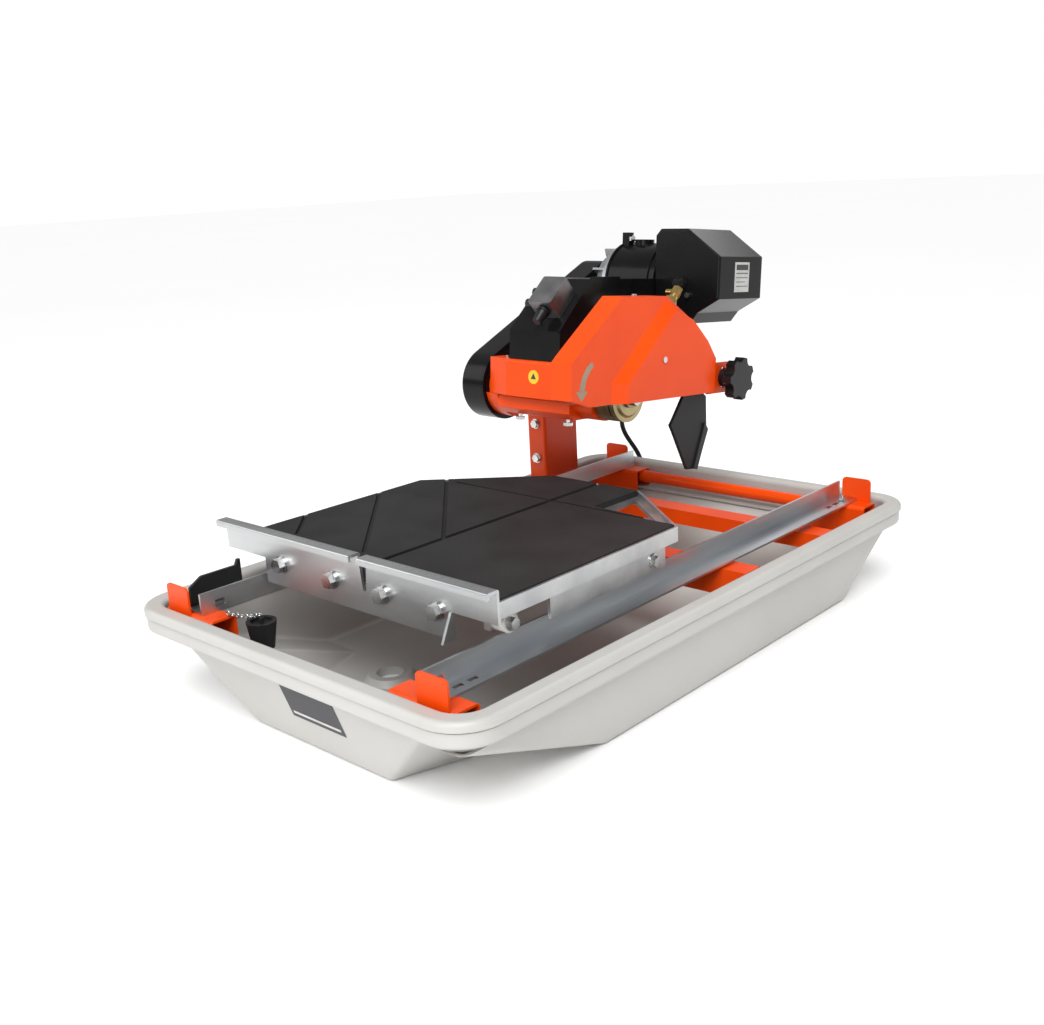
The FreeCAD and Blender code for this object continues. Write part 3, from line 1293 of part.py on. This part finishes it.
make_pan()
make_drain_plug()
make_plug_chain()
make_bracket("front_left_bracket", -1, from_front(dim.bracket_front), True)
make_bracket("front_right_bracket", 1, from_front(dim.bracket_front), True)
make_rear_frame()
make_mid_member()
make_rail("rail_left", -1)
make_rail("rail_right", 1)
make_rail_bolts()
make_bumper()
make_post()
make_post_foot()
make_post_bolts()
make_pivot_saddle()
make_pivot_pin()
make_spindle_housing()
make_bearings()
make_housing_cover()
make_housing_bolts()
make_motor_bracket()
make_belt_guard()
make_belt_backplate()
make_motor_body()
make_motor_end_bell()
make_motor_end_cover()
make_nameplate()
make_motor_bolts()
make_motor_rotor()
make_pulleys()
make_drive_belt()
make_spindle()
make_switch()
make_water_fitting()
make_blade_guard()
make_guard_screws()
make_flap()
make_knob()
make_guard_arm()
make_table()
make_pads()
make_fence()
make_fence_bracket()
make_fence_bolts()
make_rollers()
make_strain_relief()
make_power_cord()
make_cord_coil()
make_power_plug()
doc.recompute()

for item in doc.Objects:
    if "Invalid" in item.State or "Error" in item.State:
        raise RuntimeError(f"{item.Name}: {item.State} {item.getStatusString()}")
labels = [item.Label for item in nodes]
if len(set(labels)) != len(labels):
    raise RuntimeError("two pieces share a label")
os.makedirs("parts", exist_ok=True)
for item in nodes:
    shape = item.Shape
    if shape.isNull() or not shape.isValid() or not shape.Solids:
        raise RuntimeError(f"{item.Label}: bad shape")
    box = shape.BoundBox
    print(f"{item.Label:22s} x {box.XMin:7.1f} {box.XMax:7.1f}  y {box.YMin:7.1f} {box.YMax:7.1f}"
          f"  z {box.ZMin:7.1f} {box.ZMax:7.1f}  solids {len(shape.Solids)}")
    shape.exportStep(f"parts/{item.Label}.step")
print(len(nodes), "pieces")
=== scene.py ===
import bmesh
import bpy
import math
from mathutils import Matrix, Vector


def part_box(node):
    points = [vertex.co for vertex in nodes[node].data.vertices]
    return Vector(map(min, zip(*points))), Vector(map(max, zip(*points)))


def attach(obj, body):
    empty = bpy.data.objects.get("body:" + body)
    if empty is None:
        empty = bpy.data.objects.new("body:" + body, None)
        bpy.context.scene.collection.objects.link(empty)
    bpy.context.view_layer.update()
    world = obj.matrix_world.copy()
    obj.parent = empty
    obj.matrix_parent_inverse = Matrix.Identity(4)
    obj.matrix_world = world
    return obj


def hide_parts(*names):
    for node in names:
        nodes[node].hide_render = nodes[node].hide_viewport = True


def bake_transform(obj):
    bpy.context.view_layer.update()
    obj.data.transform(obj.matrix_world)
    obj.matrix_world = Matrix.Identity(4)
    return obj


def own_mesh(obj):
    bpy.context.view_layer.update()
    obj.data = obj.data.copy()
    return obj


# Wet tile saw: moulded pan, rails, rolling table with a fence, and a tilting belt driven head.
# Frame: metres, +Z up, +X to the right, -Y to the front, origin under the pan's centre.

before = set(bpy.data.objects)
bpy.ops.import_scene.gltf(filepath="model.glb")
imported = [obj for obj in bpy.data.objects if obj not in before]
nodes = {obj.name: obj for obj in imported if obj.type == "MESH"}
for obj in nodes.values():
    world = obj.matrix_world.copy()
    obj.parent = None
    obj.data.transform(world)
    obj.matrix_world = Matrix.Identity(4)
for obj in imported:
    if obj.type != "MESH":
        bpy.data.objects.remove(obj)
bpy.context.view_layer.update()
scene = bpy.context.scene
scene.view_settings.view_transform = "Standard"

# ---- camera: 40.5 mm lens on a 36 mm sensor, from the front right, 16 degrees above the level and
# rolled by three degrees, about 1.8 m from the saw
azimuth, elevation, roll = (math.radians(a) for a in (43.086, 16.174, -2.982))
right = Vector((math.cos(azimuth), math.sin(azimuth), 0))
forward = Vector((-math.sin(azimuth) * math.cos(elevation), math.cos(azimuth) * math.cos(elevation),
                  -math.sin(elevation)))
down = forward.cross(right)
across = right * math.cos(roll) - down * math.sin(roll)
below = right * math.sin(roll) + down * math.cos(roll)
camera = bpy.data.objects.new("camera", bpy.data.cameras.new("camera"))
scene.collection.objects.link(camera)
camera.matrix_world = Matrix.Translation((1.12804, -1.27332, 0.69725)) @ Matrix(
    (across, -below, -forward)).transposed().to_4x4()
camera.data.lens = 40.50
camera.data.sensor_width = 36
scene.camera = camera

# ---- power cord: 9 mm rubber lead, from the relief under the motor over the rear rim to a flat
# coil of five turns on the floor behind the pan, and the plug lying on the coil
cord_route = [Vector(point) for point in (
    (-0.160, 0.44016, 0.39054), (-0.160, 0.4353, 0.3368), (-0.212, 0.484, 0.268),
    (-0.284, 0.528, 0.208), (-0.246, 0.551, 0.140), (-0.241, 0.553, 0.088),
    (-0.226, 0.554, 0.034), (-0.190, 0.5535, 0.0046), (-0.150, 0.553, 0.0046))]
coil_centre = Vector((-0.120, 0.612, 0))


def eased(place, start, end):
    share = min(max((place - start) / (end - start), 0), 1)
    return share * share * (3 - 2 * share)


cord_line = [cord_route[0]]
for before, corner, after in zip(cord_route, cord_route[1:], cord_route[2:]):
    arriving, leaving = corner - before, after - corner
    turn = arriving.angle(leaving)
    setback = 0.45 * min(arriving.length, leaving.length)
    arc_radius = setback / math.tan(turn / 2)
    arriving.normalize()
    leaving.normalize()
    entry = corner - arriving * setback
    inward = (leaving - arriving * arriving.dot(leaving)).normalized()
    for step in range(9):
        angle = turn * step / 8
        cord_line.append(entry + arriving * arc_radius * math.sin(angle)
                         + inward * arc_radius * (1 - math.cos(angle)))
cord_line.append(cord_route[-1])
for step in range(361):
    turns = step / 72
    tail = eased(turns, 4.35, 5.0)
    radius = (0.0602 - 0.0093 * (eased(turns, 0.20, 0.85) + eased(turns, 1.20, 1.85))
              + 0.0047 * eased(turns, 2.45, 2.95) + 0.0093 * eased(turns, 3.02, 3.50)
              - 0.0075 * eased(turns, 4.15, 4.80))
    height = (0.0046 + 0.0093 * eased(turns, 2.05, 2.45) - 0.0007 * eased(turns, 2.70, 2.95)
              + 0.0093 * eased(turns, 3.85, 4.25) + 0.0039 * tail)
    angle = math.radians(-90) + 2 * math.pi * turns
    cord_line.append(coil_centre + Vector((radius * math.cos(angle) - 0.016 * tail,
                                           radius * math.sin(angle) + 0.008 * tail, height)))
cord_line.append(cord_line[-1] + Vector((0.005, 0, 0)))


def linked(name, mesh):
    """A new object at the origin for a finished mesh."""
    piece = bpy.data.objects.new(name, mesh)
    scene.collection.objects.link(piece)
    return piece


def swept(name, line, radius, sides=14):
    """A round tube along a line of points, with capped ends."""
    work = bmesh.new()
    heading = (line[1] - line[0]).normalized()
    side = heading.orthogonal().normalized()
    rings = []
    for index, place in enumerate(line):
        ahead = line[min(index + 1, len(line) - 1)] - line[max(index - 1, 0)]
        ahead.normalize()
        side = (side - ahead * side.dot(ahead)).normalized()
        other = ahead.cross(side)
        rings.append([work.verts.new(place + (side * math.cos(2 * math.pi * k / sides)
                                              + other * math.sin(2 * math.pi * k / sides)) * radius)
                      for k in range(sides)])
    for first, second in zip(rings, rings[1:]):
        for k in range(sides):
            work.faces.new((first[k], first[(k + 1) % sides], second[(k + 1) % sides], second[k]))
    work.faces.new(reversed(rings[0]))
    work.faces.new(rings[-1])
    for face in work.faces:
        face.smooth = True
    mesh = bpy.data.meshes.new(name)
    work.to_mesh(mesh)
    work.free()
    return linked(name, mesh)


def surface(name, colour, shade, rough, metal=0.0, grain=900.0, depth=0.0001, patch=7.0,
            coat=0.0, stretch=(1, 1, 1), swing=0.08, mirror=0.5):
    """A procedural finish: two close colours in patches, an uneven gloss and a fine surface grain."""
    material = bpy.data.materials.new(name)
    material.use_nodes = True
    tree = material.node_tree
    shader = tree.nodes["Principled BSDF"]
    shader.inputs["Metallic"].default_value = metal
    shader.inputs["Coat Weight"].default_value = coat
    shader.inputs["Specular IOR Level"].default_value = mirror
    shader.inputs["Coat Roughness"].default_value = 0.12
    place = tree.nodes.new("ShaderNodeTexCoord")
    mapping = tree.nodes.new("ShaderNodeMapping")
    mapping.inputs["Scale"].default_value = stretch
    tree.links.new(place.outputs["Object"], mapping.inputs["Vector"])
    patches = tree.nodes.new("ShaderNodeTexNoise")
    patches.inputs["Scale"].default_value = patch
    patches.inputs["Detail"].default_value = 6
    fine = tree.nodes.new("ShaderNodeTexNoise")
    fine.inputs["Scale"].default_value = grain
    fine.inputs["Detail"].default_value = 3
    ramp = tree.nodes.new("ShaderNodeValToRGB")
    ramp.color_ramp.elements[0].position = 0.32
    ramp.color_ramp.elements[0].color = (*shade, 1)
    ramp.color_ramp.elements[1].position = 0.62
    ramp.color_ramp.elements[1].color = (*colour, 1)
    gloss = tree.nodes.new("ShaderNodeMapRange")
    gloss.inputs["To Min"].default_value = rough - swing
    gloss.inputs["To Max"].default_value = rough + swing
    bump = tree.nodes.new("ShaderNodeBump")
    bump.inputs["Strength"].default_value = 0.6
    bump.inputs["Distance"].default_value = depth
    for noise in (patches, fine):
        tree.links.new(mapping.outputs["Vector"], noise.inputs["Vector"])
    tree.links.new(patches.outputs["Fac"], ramp.inputs["Fac"])
    tree.links.new(ramp.outputs["Color"], shader.inputs["Base Color"])
    tree.links.new(patches.outputs["Fac"], gloss.inputs["Value"])
    tree.links.new(gloss.outputs["Result"], shader.inputs["Roughness"])
    tree.links.new(fine.outputs["Fac"], bump.inputs["Height"])
    tree.links.new(bump.outputs["Normal"], shader.inputs["Normal"])
    return material


def wear(material, *names):
    """Puts a finish on carried over nodes, or on new pieces."""
    for name in names:
        target = nodes[name] if isinstance(name, str) else name
        target.data.materials.clear()
        target.data.materials.append(material)


cord_rubber = surface("cord_rubber", (0.018, 0.018, 0.019), (0.010, 0.010, 0.011), 0.52, grain=2500,
                      depth=0.00008, mirror=0.3)
cord = swept("power_lead", cord_line, 0.0045)
wear(cord_rubber, cord)
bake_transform(cord)
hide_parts("power_cord", "cord_coil")

# ---- pan: 660 x 1055 mm, 149 mm high, off-white moulded plastic with a fine sand texture and
# faint darker patches
pan_plastic = surface("pan_plastic", (0.47, 0.465, 0.445), (0.43, 0.42, 0.395), 0.42, grain=1400,
                      depth=0.00012, patch=5)
wear(pan_plastic, "pan")

# ---- orange powder coat: two close oranges with a light orange peel under a thin gloss, on the
# guard, housing, cover, post, saddle, brackets and cross members
orange_paint = surface("orange_paint", (0.80, 0.068, 0.002), (0.74, 0.057, 0.0015), 0.30, grain=420,
                       depth=0.00010, patch=9, coat=0.08, swing=0.05, mirror=0.2)
wear(orange_paint, "front_left_bracket", "front_right_bracket", "rear_cross_frame", "post", "post_foot",
     "pivot_saddle", "spindle_housing", "housing_cover", "blade_guard", "mid_cross_member")

# ---- black enamel: near black and smooth, over the folded bracket, the belt guard, the motor and
# the arm of the guard
black_paint = surface("black_paint", (0.006, 0.006, 0.0065), (0.004, 0.004, 0.0045), 0.22, grain=500,
                      depth=0.00008, patch=12, coat=0.08, swing=0.06, mirror=0.14)
wear(black_paint, "motor_bracket", "belt_guard", "belt_guard_backplate", "motor_body", "motor_end_cover",
     "guard_arm")

# ---- galvanised rails: 962 mm long, 30 mm high angles in blue-grey zinc, its patches drawn out
# along the rail into rolling streaks
rail_zinc = surface("rail_zinc", (0.68, 0.70, 0.72), (0.50, 0.52, 0.55), 0.34, metal=1.0, grain=260,
                    depth=0.00006, patch=26, stretch=(1, 0.12, 1), swing=0.12)
wear(rail_zinc, "rail_left", "rail_right")

# ---- bright zinc hardware: bolts, nuts, chain, studs, pins, shafts and the angle behind the fence,
# small pieces with a lively uneven gloss
bright_zinc = surface("bright_zinc", (0.66, 0.66, 0.65), (0.46, 0.46, 0.47), 0.24, metal=1.0, grain=700,
                      depth=0.00005, patch=40, swing=0.1)
wear(bright_zinc, "rail_bolts", "post_bolts", "pivot_pin", "housing_bolts", "motor_bolts", "plug_chain",
     "knob_stud", "guard_screws", "fence_bolts", "roller_axles", "fence_bracket",
     "spindle_shaft", "spindle_bearings", "arbor_nut", "motor_shaft")

# ---- switch box: 48 x 56 x 36 mm utility box in dull pressed steel, darker than the hardware and
# a little rougher
box_steel = surface("box_steel", (0.38, 0.38, 0.39), (0.27, 0.27, 0.28), 0.36, metal=1.0, grain=500,
                    depth=0.00006, patch=36, swing=0.08)
wear(box_steel, "switch_box")

# ---- olive zinc plate: the 80 mm flanges and the two pulleys, yellow-brown metal with the noise
# squeezed along the spindle into turned rings
olive_zinc = surface("olive_zinc", (0.44, 0.37, 0.20), (0.28, 0.24, 0.13), 0.32, metal=1.0, grain=300,
                     depth=0.00008, patch=30, stretch=(8, 1, 1), swing=0.1)
wear(olive_zinc, "spindle_pulley", "motor_pulley", "inner_flange", "outer_flange")

# ---- table and fence: pale cast aluminium under the pads, and a pressed fence 536 mm long whose
# grain is brushed along its length
table_metal = surface("table_metal", (0.60, 0.61, 0.61), (0.44, 0.45, 0.46), 0.36, metal=0.9, grain=650,
                      depth=0.00015, patch=18, swing=0.1)
wear(table_metal, "table_frame")
fence_metal = surface("fence_metal", (0.62, 0.63, 0.63), (0.48, 0.49, 0.50), 0.33, metal=0.95, grain=420,
                      depth=0.00008, patch=22, stretch=(0.15, 1, 1), swing=0.1)
wear(fence_metal, "fence")

# ---- motor end bell: 132 mm across, sand cast silver aluminium with a coarse skin between its
# eight ribs
bell_metal = surface("bell_metal", (0.50, 0.51, 0.52), (0.34, 0.35, 0.36), 0.42, metal=0.9, grain=900,
                     depth=0.0003, patch=30)
wear(bell_metal, "motor_end_bell")

# ---- black rubber: 9 mm table pads with a stippled dull face, and a smoother rubber for the
# stopper, the bumper and the belt
pad_rubber = surface("pad_rubber", (0.020, 0.020, 0.0205), (0.012, 0.012, 0.0125), 0.66, grain=1100,
                     depth=0.0006, patch=14, mirror=0.25)
wear(pad_rubber, "rubber_pads")
soft_rubber = surface("soft_rubber", (0.016, 0.016, 0.017), (0.010, 0.010, 0.010), 0.48, grain=1600,
                      depth=0.0001, mirror=0.3)
wear(soft_rubber, "drain_plug", "rail_bumper", "drive_belt")

# ---- black moulded plastic: the 72 mm star knob, toggle, cable glands, strain relief and plug,
# satin with a fine spark eroded grain
black_plastic = surface("black_plastic", (0.013, 0.013, 0.014), (0.008, 0.008, 0.009), 0.34, grain=1500,
                        depth=0.00012, mirror=0.3)
wear(black_plastic, "switch_toggle", "cable_glands", "star_knob", "cord_strain_relief", "power_plug")

# ---- nylon rollers: four of them, 26 mm across and 20 mm wide, off-white and satin with scuffed
# patches
nylon = surface("nylon", (0.78, 0.78, 0.74), (0.66, 0.65, 0.60), 0.38, grain=900, depth=0.00008, patch=60)
wear(nylon, "roller_front_left", "roller_rear_left", "roller_front_right", "roller_rear_right")

# ---- water fitting: a 38 mm brass elbow on the guard, slightly dulled in patches that are darker
# and browner
fitting_brass = surface("fitting_brass", (0.72, 0.50, 0.18), (0.50, 0.33, 0.11), 0.28, metal=1.0, grain=800,
                        depth=0.00005, patch=60)
wear(fitting_brass, "water_fitting")

# ---- data plate: 44 x 49 mm of plain pale aluminium, less than 1 mm thick, on the right end of
# the motor cover
plate_metal = surface("plate_metal", (0.62, 0.62, 0.60), (0.52, 0.52, 0.50), 0.4, metal=0.7, grain=600,
                      depth=0.00004, patch=60)
wear(plate_metal, "nameplate")

# ---- splash flap: stiff black rubber sheet 7 mm thick, bowed a little, hung in the guard's rear,
# with a riveted steel strip along its trailing edge
head_turn = math.radians(5.2)


def on_head(x, along, up):
    """A point of the head's own level frame, in millimetres, as a place in the scene."""
    return Vector((x, 157.5 + along * math.cos(head_turn) + up * math.sin(head_turn),
                   352 - along * math.sin(head_turn) + up * math.cos(head_turn))) / 1000


def thick_sheet(name, outline, left, bow, gauge, rounding=0.0012, rows=10):
    """A sheet cut to an outline in the head's side plane, bowed sideways towards its lower end."""
    work = bmesh.new()
    lowest, highest = min(w for _, w in outline), max(w for _, w in outline)
    corners = [work.verts.new((0, v, w)) for v, w in outline]
    work.faces.new(corners)
    for row in range(1, rows):
        level = lowest + (highest - lowest) * row / rows
        everything = work.verts[:] + work.edges[:] + work.faces[:]
        bmesh.ops.bisect_plane(work, geom=everything, plane_co=(0, 0, level), plane_no=(0, 0, 1))
    for vert in work.verts:
        share = (highest - vert.co.z) / (highest - lowest)
        vert.co = on_head(left + bow * share * share, vert.co.y, vert.co.z)
    faces = bmesh.ops.extrude_face_region(work, geom=work.faces[:])["geom"]
    for vert in (item for item in faces if isinstance(item, bmesh.types.BMVert)):
        vert.co.x += gauge / 1000
    bmesh.ops.recalc_face_normals(work, faces=work.faces[:])
    sharp = [edge for edge in work.edges if edge.is_manifold and edge.calc_face_angle(0) > 0.7]
    bmesh.ops.bevel(work, geom=sharp, offset=rounding, segments=2, profile=0.5, affect="EDGES",
                    material=-1)
    mesh = bpy.data.meshes.new(name)
    work.to_mesh(mesh)
    work.free()
    return linked(name, mesh)


flap = thick_sheet("rubber_flap", [(168, 24), (219, 24), (219, -8), (232, -16), (237, -73), (204, -138),
                                   (181, -137), (131, -57), (166, -9)], 12, 2.0, 6)
flap_strip = thick_sheet("flap_edge_strip", [(226, -60), (237, -73), (206, -139), (196, -137), (222, -74)],
                         19.0, 2.0, 3, rounding=0.0006, rows=4)
wear(soft_rubber, flap)
wear(black_plastic, flap_strip)
for piece, slot_name in ((flap, "rubber"), (flap_strip, "black_plastic")):
    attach(piece, "guard")
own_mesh(flap)
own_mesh(flap_strip)
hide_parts("splash_flap")
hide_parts("splash_flap")

# ---- fence rule: dark ticks every eighth of an inch (3.175 mm) along the folded lip, 4 mm long,
# 7 mm at each half inch and 11 mm at each inch, counted from the blade line
fence_low, fence_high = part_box("fence")
fence_low, fence_high = Vector(fence_low), Vector(fence_high)
tick_work = bmesh.new()
blade_line, eighth_inch = 0.010, 0.003175
for count in range(-80, 76):
    x = blade_line + count * eighth_inch
    if not fence_low.x + 0.006 < x < fence_high.x - 0.006 or abs(x - blade_line) < 0.010:
        continue
    reach = 0.011 if count % 8 == 0 else 0.007 if count % 4 == 0 else 0.004
    back = fence_high.y - 0.002
    top = fence_high.z + 0.00004
    quad = [tick_work.verts.new(place) for place in (
        (x - 0.00022, back - reach, top), (x + 0.00022, back - reach, top),
        (x + 0.00022, back, top), (x - 0.00022, back, top))]
    tick_work.faces.new(quad)
tick_mesh = bpy.data.meshes.new("fence_rule")
tick_work.to_mesh(tick_mesh)
tick_work.free()
fence_rule = linked("fence_rule", tick_mesh)
ink = surface("rule_ink", (0.05, 0.05, 0.055), (0.03, 0.03, 0.03), 0.6, grain=2000, depth=0.00002)
wear(ink, fence_rule)
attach(fence_rule, "cart")


def disc(name, centre, radius, normal, thick, sides=40):
    """A thin flat disc on a face, or a polygon when it has few sides."""
    work = bmesh.new()
    turn = Vector(normal).to_track_quat("Z", "Y").to_matrix().to_4x4()
    bmesh.ops.create_cone(work, cap_ends=True, segments=sides, radius1=radius, radius2=radius, depth=thick,
                          matrix=Matrix.Translation(centre) @ turn)
    mesh = bpy.data.meshes.new(name)
    work.to_mesh(mesh)
    work.free()
    return linked(name, mesh)


# ---- round yellow sticker on the cover's front, 22 mm across, with a plain dark triangle in its
# middle and no lettering
head_forward = on_head(0, -1, 0) - on_head(0, 0, 0)
sticker = disc("cover_sticker", on_head(-125, -50.2, 24), 0.0110, head_forward, 0.0004)
sticker_mark = disc("cover_sticker_dot", on_head(-125, -50.6, 24), 0.0062, head_forward, 0.0003, sides=3)
yellow = surface("sticker_yellow", (0.85, 0.55, 0.02), (0.78, 0.48, 0.02), 0.35, grain=1500, depth=0.00002)
wear(yellow, sticker)
wear(ink, sticker_mark)
for piece in (sticker, sticker_mark):
    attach(piece, "head")

# ---- turning arrow on the guard's right side: a tan curved band 9 to 13 mm wide with a pointed
# end, printed 0.15 mm off the paint
arrow_work = bmesh.new()
arrow_line = [(-92, 58, 4.5), (-103, 50, 5.0), (-111, 38, 5.5), (-115, 26, 6.0), (-116, 19, 6.5)]
left_side, right_side = [], []
for (v, w, half), (dv, dw) in zip(arrow_line, ((-11, -8), (-9, -10), (-6, -12), (-3, -10), (-1, -7))):
    long = math.hypot(dv, dw)
    for group, sign in ((left_side, 1), (right_side, -1)):
        spot = on_head(30.15, v - sign * dw / long * half, w + sign * dv / long * half)
        group.append(arrow_work.verts.new(spot))
for index in range(len(arrow_line) - 1):
    arrow_work.faces.new((left_side[index], left_side[index + 1], right_side[index + 1], right_side[index]))
head_left = arrow_work.verts.new(on_head(30.15, -103, 18))
head_right = arrow_work.verts.new(on_head(30.15, -130, 19))
arrow_work.faces.new((head_left, arrow_work.verts.new(on_head(30.15, -117, 3)), head_right))
arrow_mesh = bpy.data.meshes.new("guard_arrow")
arrow_work.to_mesh(arrow_mesh)
arrow_work.free()
arrow = linked("guard_arrow", arrow_mesh)
tan_ink = surface("arrow_tan", (0.34, 0.28, 0.20), (0.26, 0.20, 0.13), 0.45, grain=1500, depth=0.00002)
wear(tan_ink, arrow)
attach(arrow, "guard")

def flat_quads(name, quads):
    """Thin printed or stuck on four cornered fields as one mesh."""
    work = bmesh.new()
    for quad in quads:
        work.faces.new([work.verts.new(corner) for corner in quad])
    mesh = bpy.data.meshes.new(name)
    work.to_mesh(mesh)
    work.free()
    return linked(name, mesh)


# ---- data plate printing: a dark header band and four thin rules on the 44 x 49 mm plate, with no
# lettering, a tenth of a millimetre off its face
bands = flat_quads("plate_bands", [
    [on_head(46.98, v, w) for v, w in ((262, low), (right_end, low), (right_end, high), (262, high))]
    for right_end, low, high in ((298, 194, 203), (298, 188, 189.5), (298, 181, 182.2),
                                 (290, 174, 175.2), (298, 167, 168.2))])
wear(ink, bands)
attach(bands, "head")


def on_front(x, height, lift):
    """A point on the pan's sloping front wall, in millimetres, lifted off it."""
    return Vector((x, -465.5 - 0.3524 * height - lift, height)) / 1000


# ---- front label: a plain dark sticker, 105 x 50 mm, on the pan's sloping front wall, with one
# thin pale bar and no lettering
label = flat_quads("front_label", [[on_front(x, z, 0.5) for x, z in (
    (-25, 50), (80, 50), (80, 100), (-25, 100))]])
label_bar = flat_quads("front_label_bar", [[on_front(x, z, 0.8) for x, z in (
    (-19, 56), (74, 56), (74, 60), (-19, 60))]])
wear(ink, label)
wear(plate_metal, label_bar)
for piece, slot_name in ((label, "black_plastic"), (label_bar, "plate")):
    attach(piece, "base")

# ---- stage: plain pale floor, white surroundings that light the saw at about a third of their
# brightness, four soft lamps and a wide sun
floor_mesh = bpy.data.meshes.new("floor")
floor_work = bmesh.new()
bmesh.ops.create_grid(floor_work, x_segments=1, y_segments=1, size=30)
floor_work.to_mesh(floor_mesh)
floor_work.free()
floor = linked("floor", floor_mesh)
floor_finish = surface("floor_finish", (0.97, 0.97, 0.97), (0.965, 0.965, 0.965), 0.9, grain=40, depth=0.0001,
                       patch=0.6)
wear(floor_finish, floor)
world = bpy.data.worlds.new("world")
scene.world = world
world.use_nodes = True
sky = world.node_tree
backdrop = sky.nodes["Background"]
backdrop.inputs["Color"].default_value = (1, 1, 1, 1)
backdrop.inputs["Strength"].default_value = 1.0
ambient = sky.nodes.new("ShaderNodeBackground")
ambient.inputs["Color"].default_value = (1, 1, 1, 1)
ambient.inputs["Strength"].default_value = 0.36
ray = sky.nodes.new("ShaderNodeLightPath")
choice = sky.nodes.new("ShaderNodeMixShader")
sky.links.new(ray.outputs["Is Camera Ray"], choice.inputs["Fac"])
sky.links.new(ambient.outputs["Background"], choice.inputs[1])
sky.links.new(backdrop.outputs["Background"], choice.inputs[2])
sky.links.new(choice.outputs["Shader"], sky.nodes["World Output"].inputs["Surface"])


def soft_light(name, place, size, power, aim=(0, 0, 0.25)):
    """A large square lamp that points at the object."""
    data = bpy.data.lights.new(name, "AREA")
    data.size = size
    data.energy = power
    lamp = bpy.data.objects.new(name, data)
    scene.collection.objects.link(lamp)
    lamp.location = place
    lamp.rotation_euler = (Vector(aim) - Vector(place)).to_track_quat("-Z", "Y").to_euler()


soft_light("key", (1.9, -1.5, 2.3), 1.3, 18)
soft_light("fill", (-2.0, -1.6, 1.6), 1.6, 14)
soft_light("back", (-0.6, 2.2, 2.2), 1.4, 14)
soft_light("low_front", (0.7, -2.5, 0.75), 1.2, 14, aim=(0, -0.3, 0.1))
sun = bpy.data.objects.new("sun", bpy.data.lights.new("sun", "SUN"))
sun.data.energy = 2.7
sun.data.angle = math.radians(40)
sun.rotation_euler = Vector((-0.45, 0.62, -1)).to_track_quat("-Z", "Y").to_euler()
scene.collection.objects.link(sun)
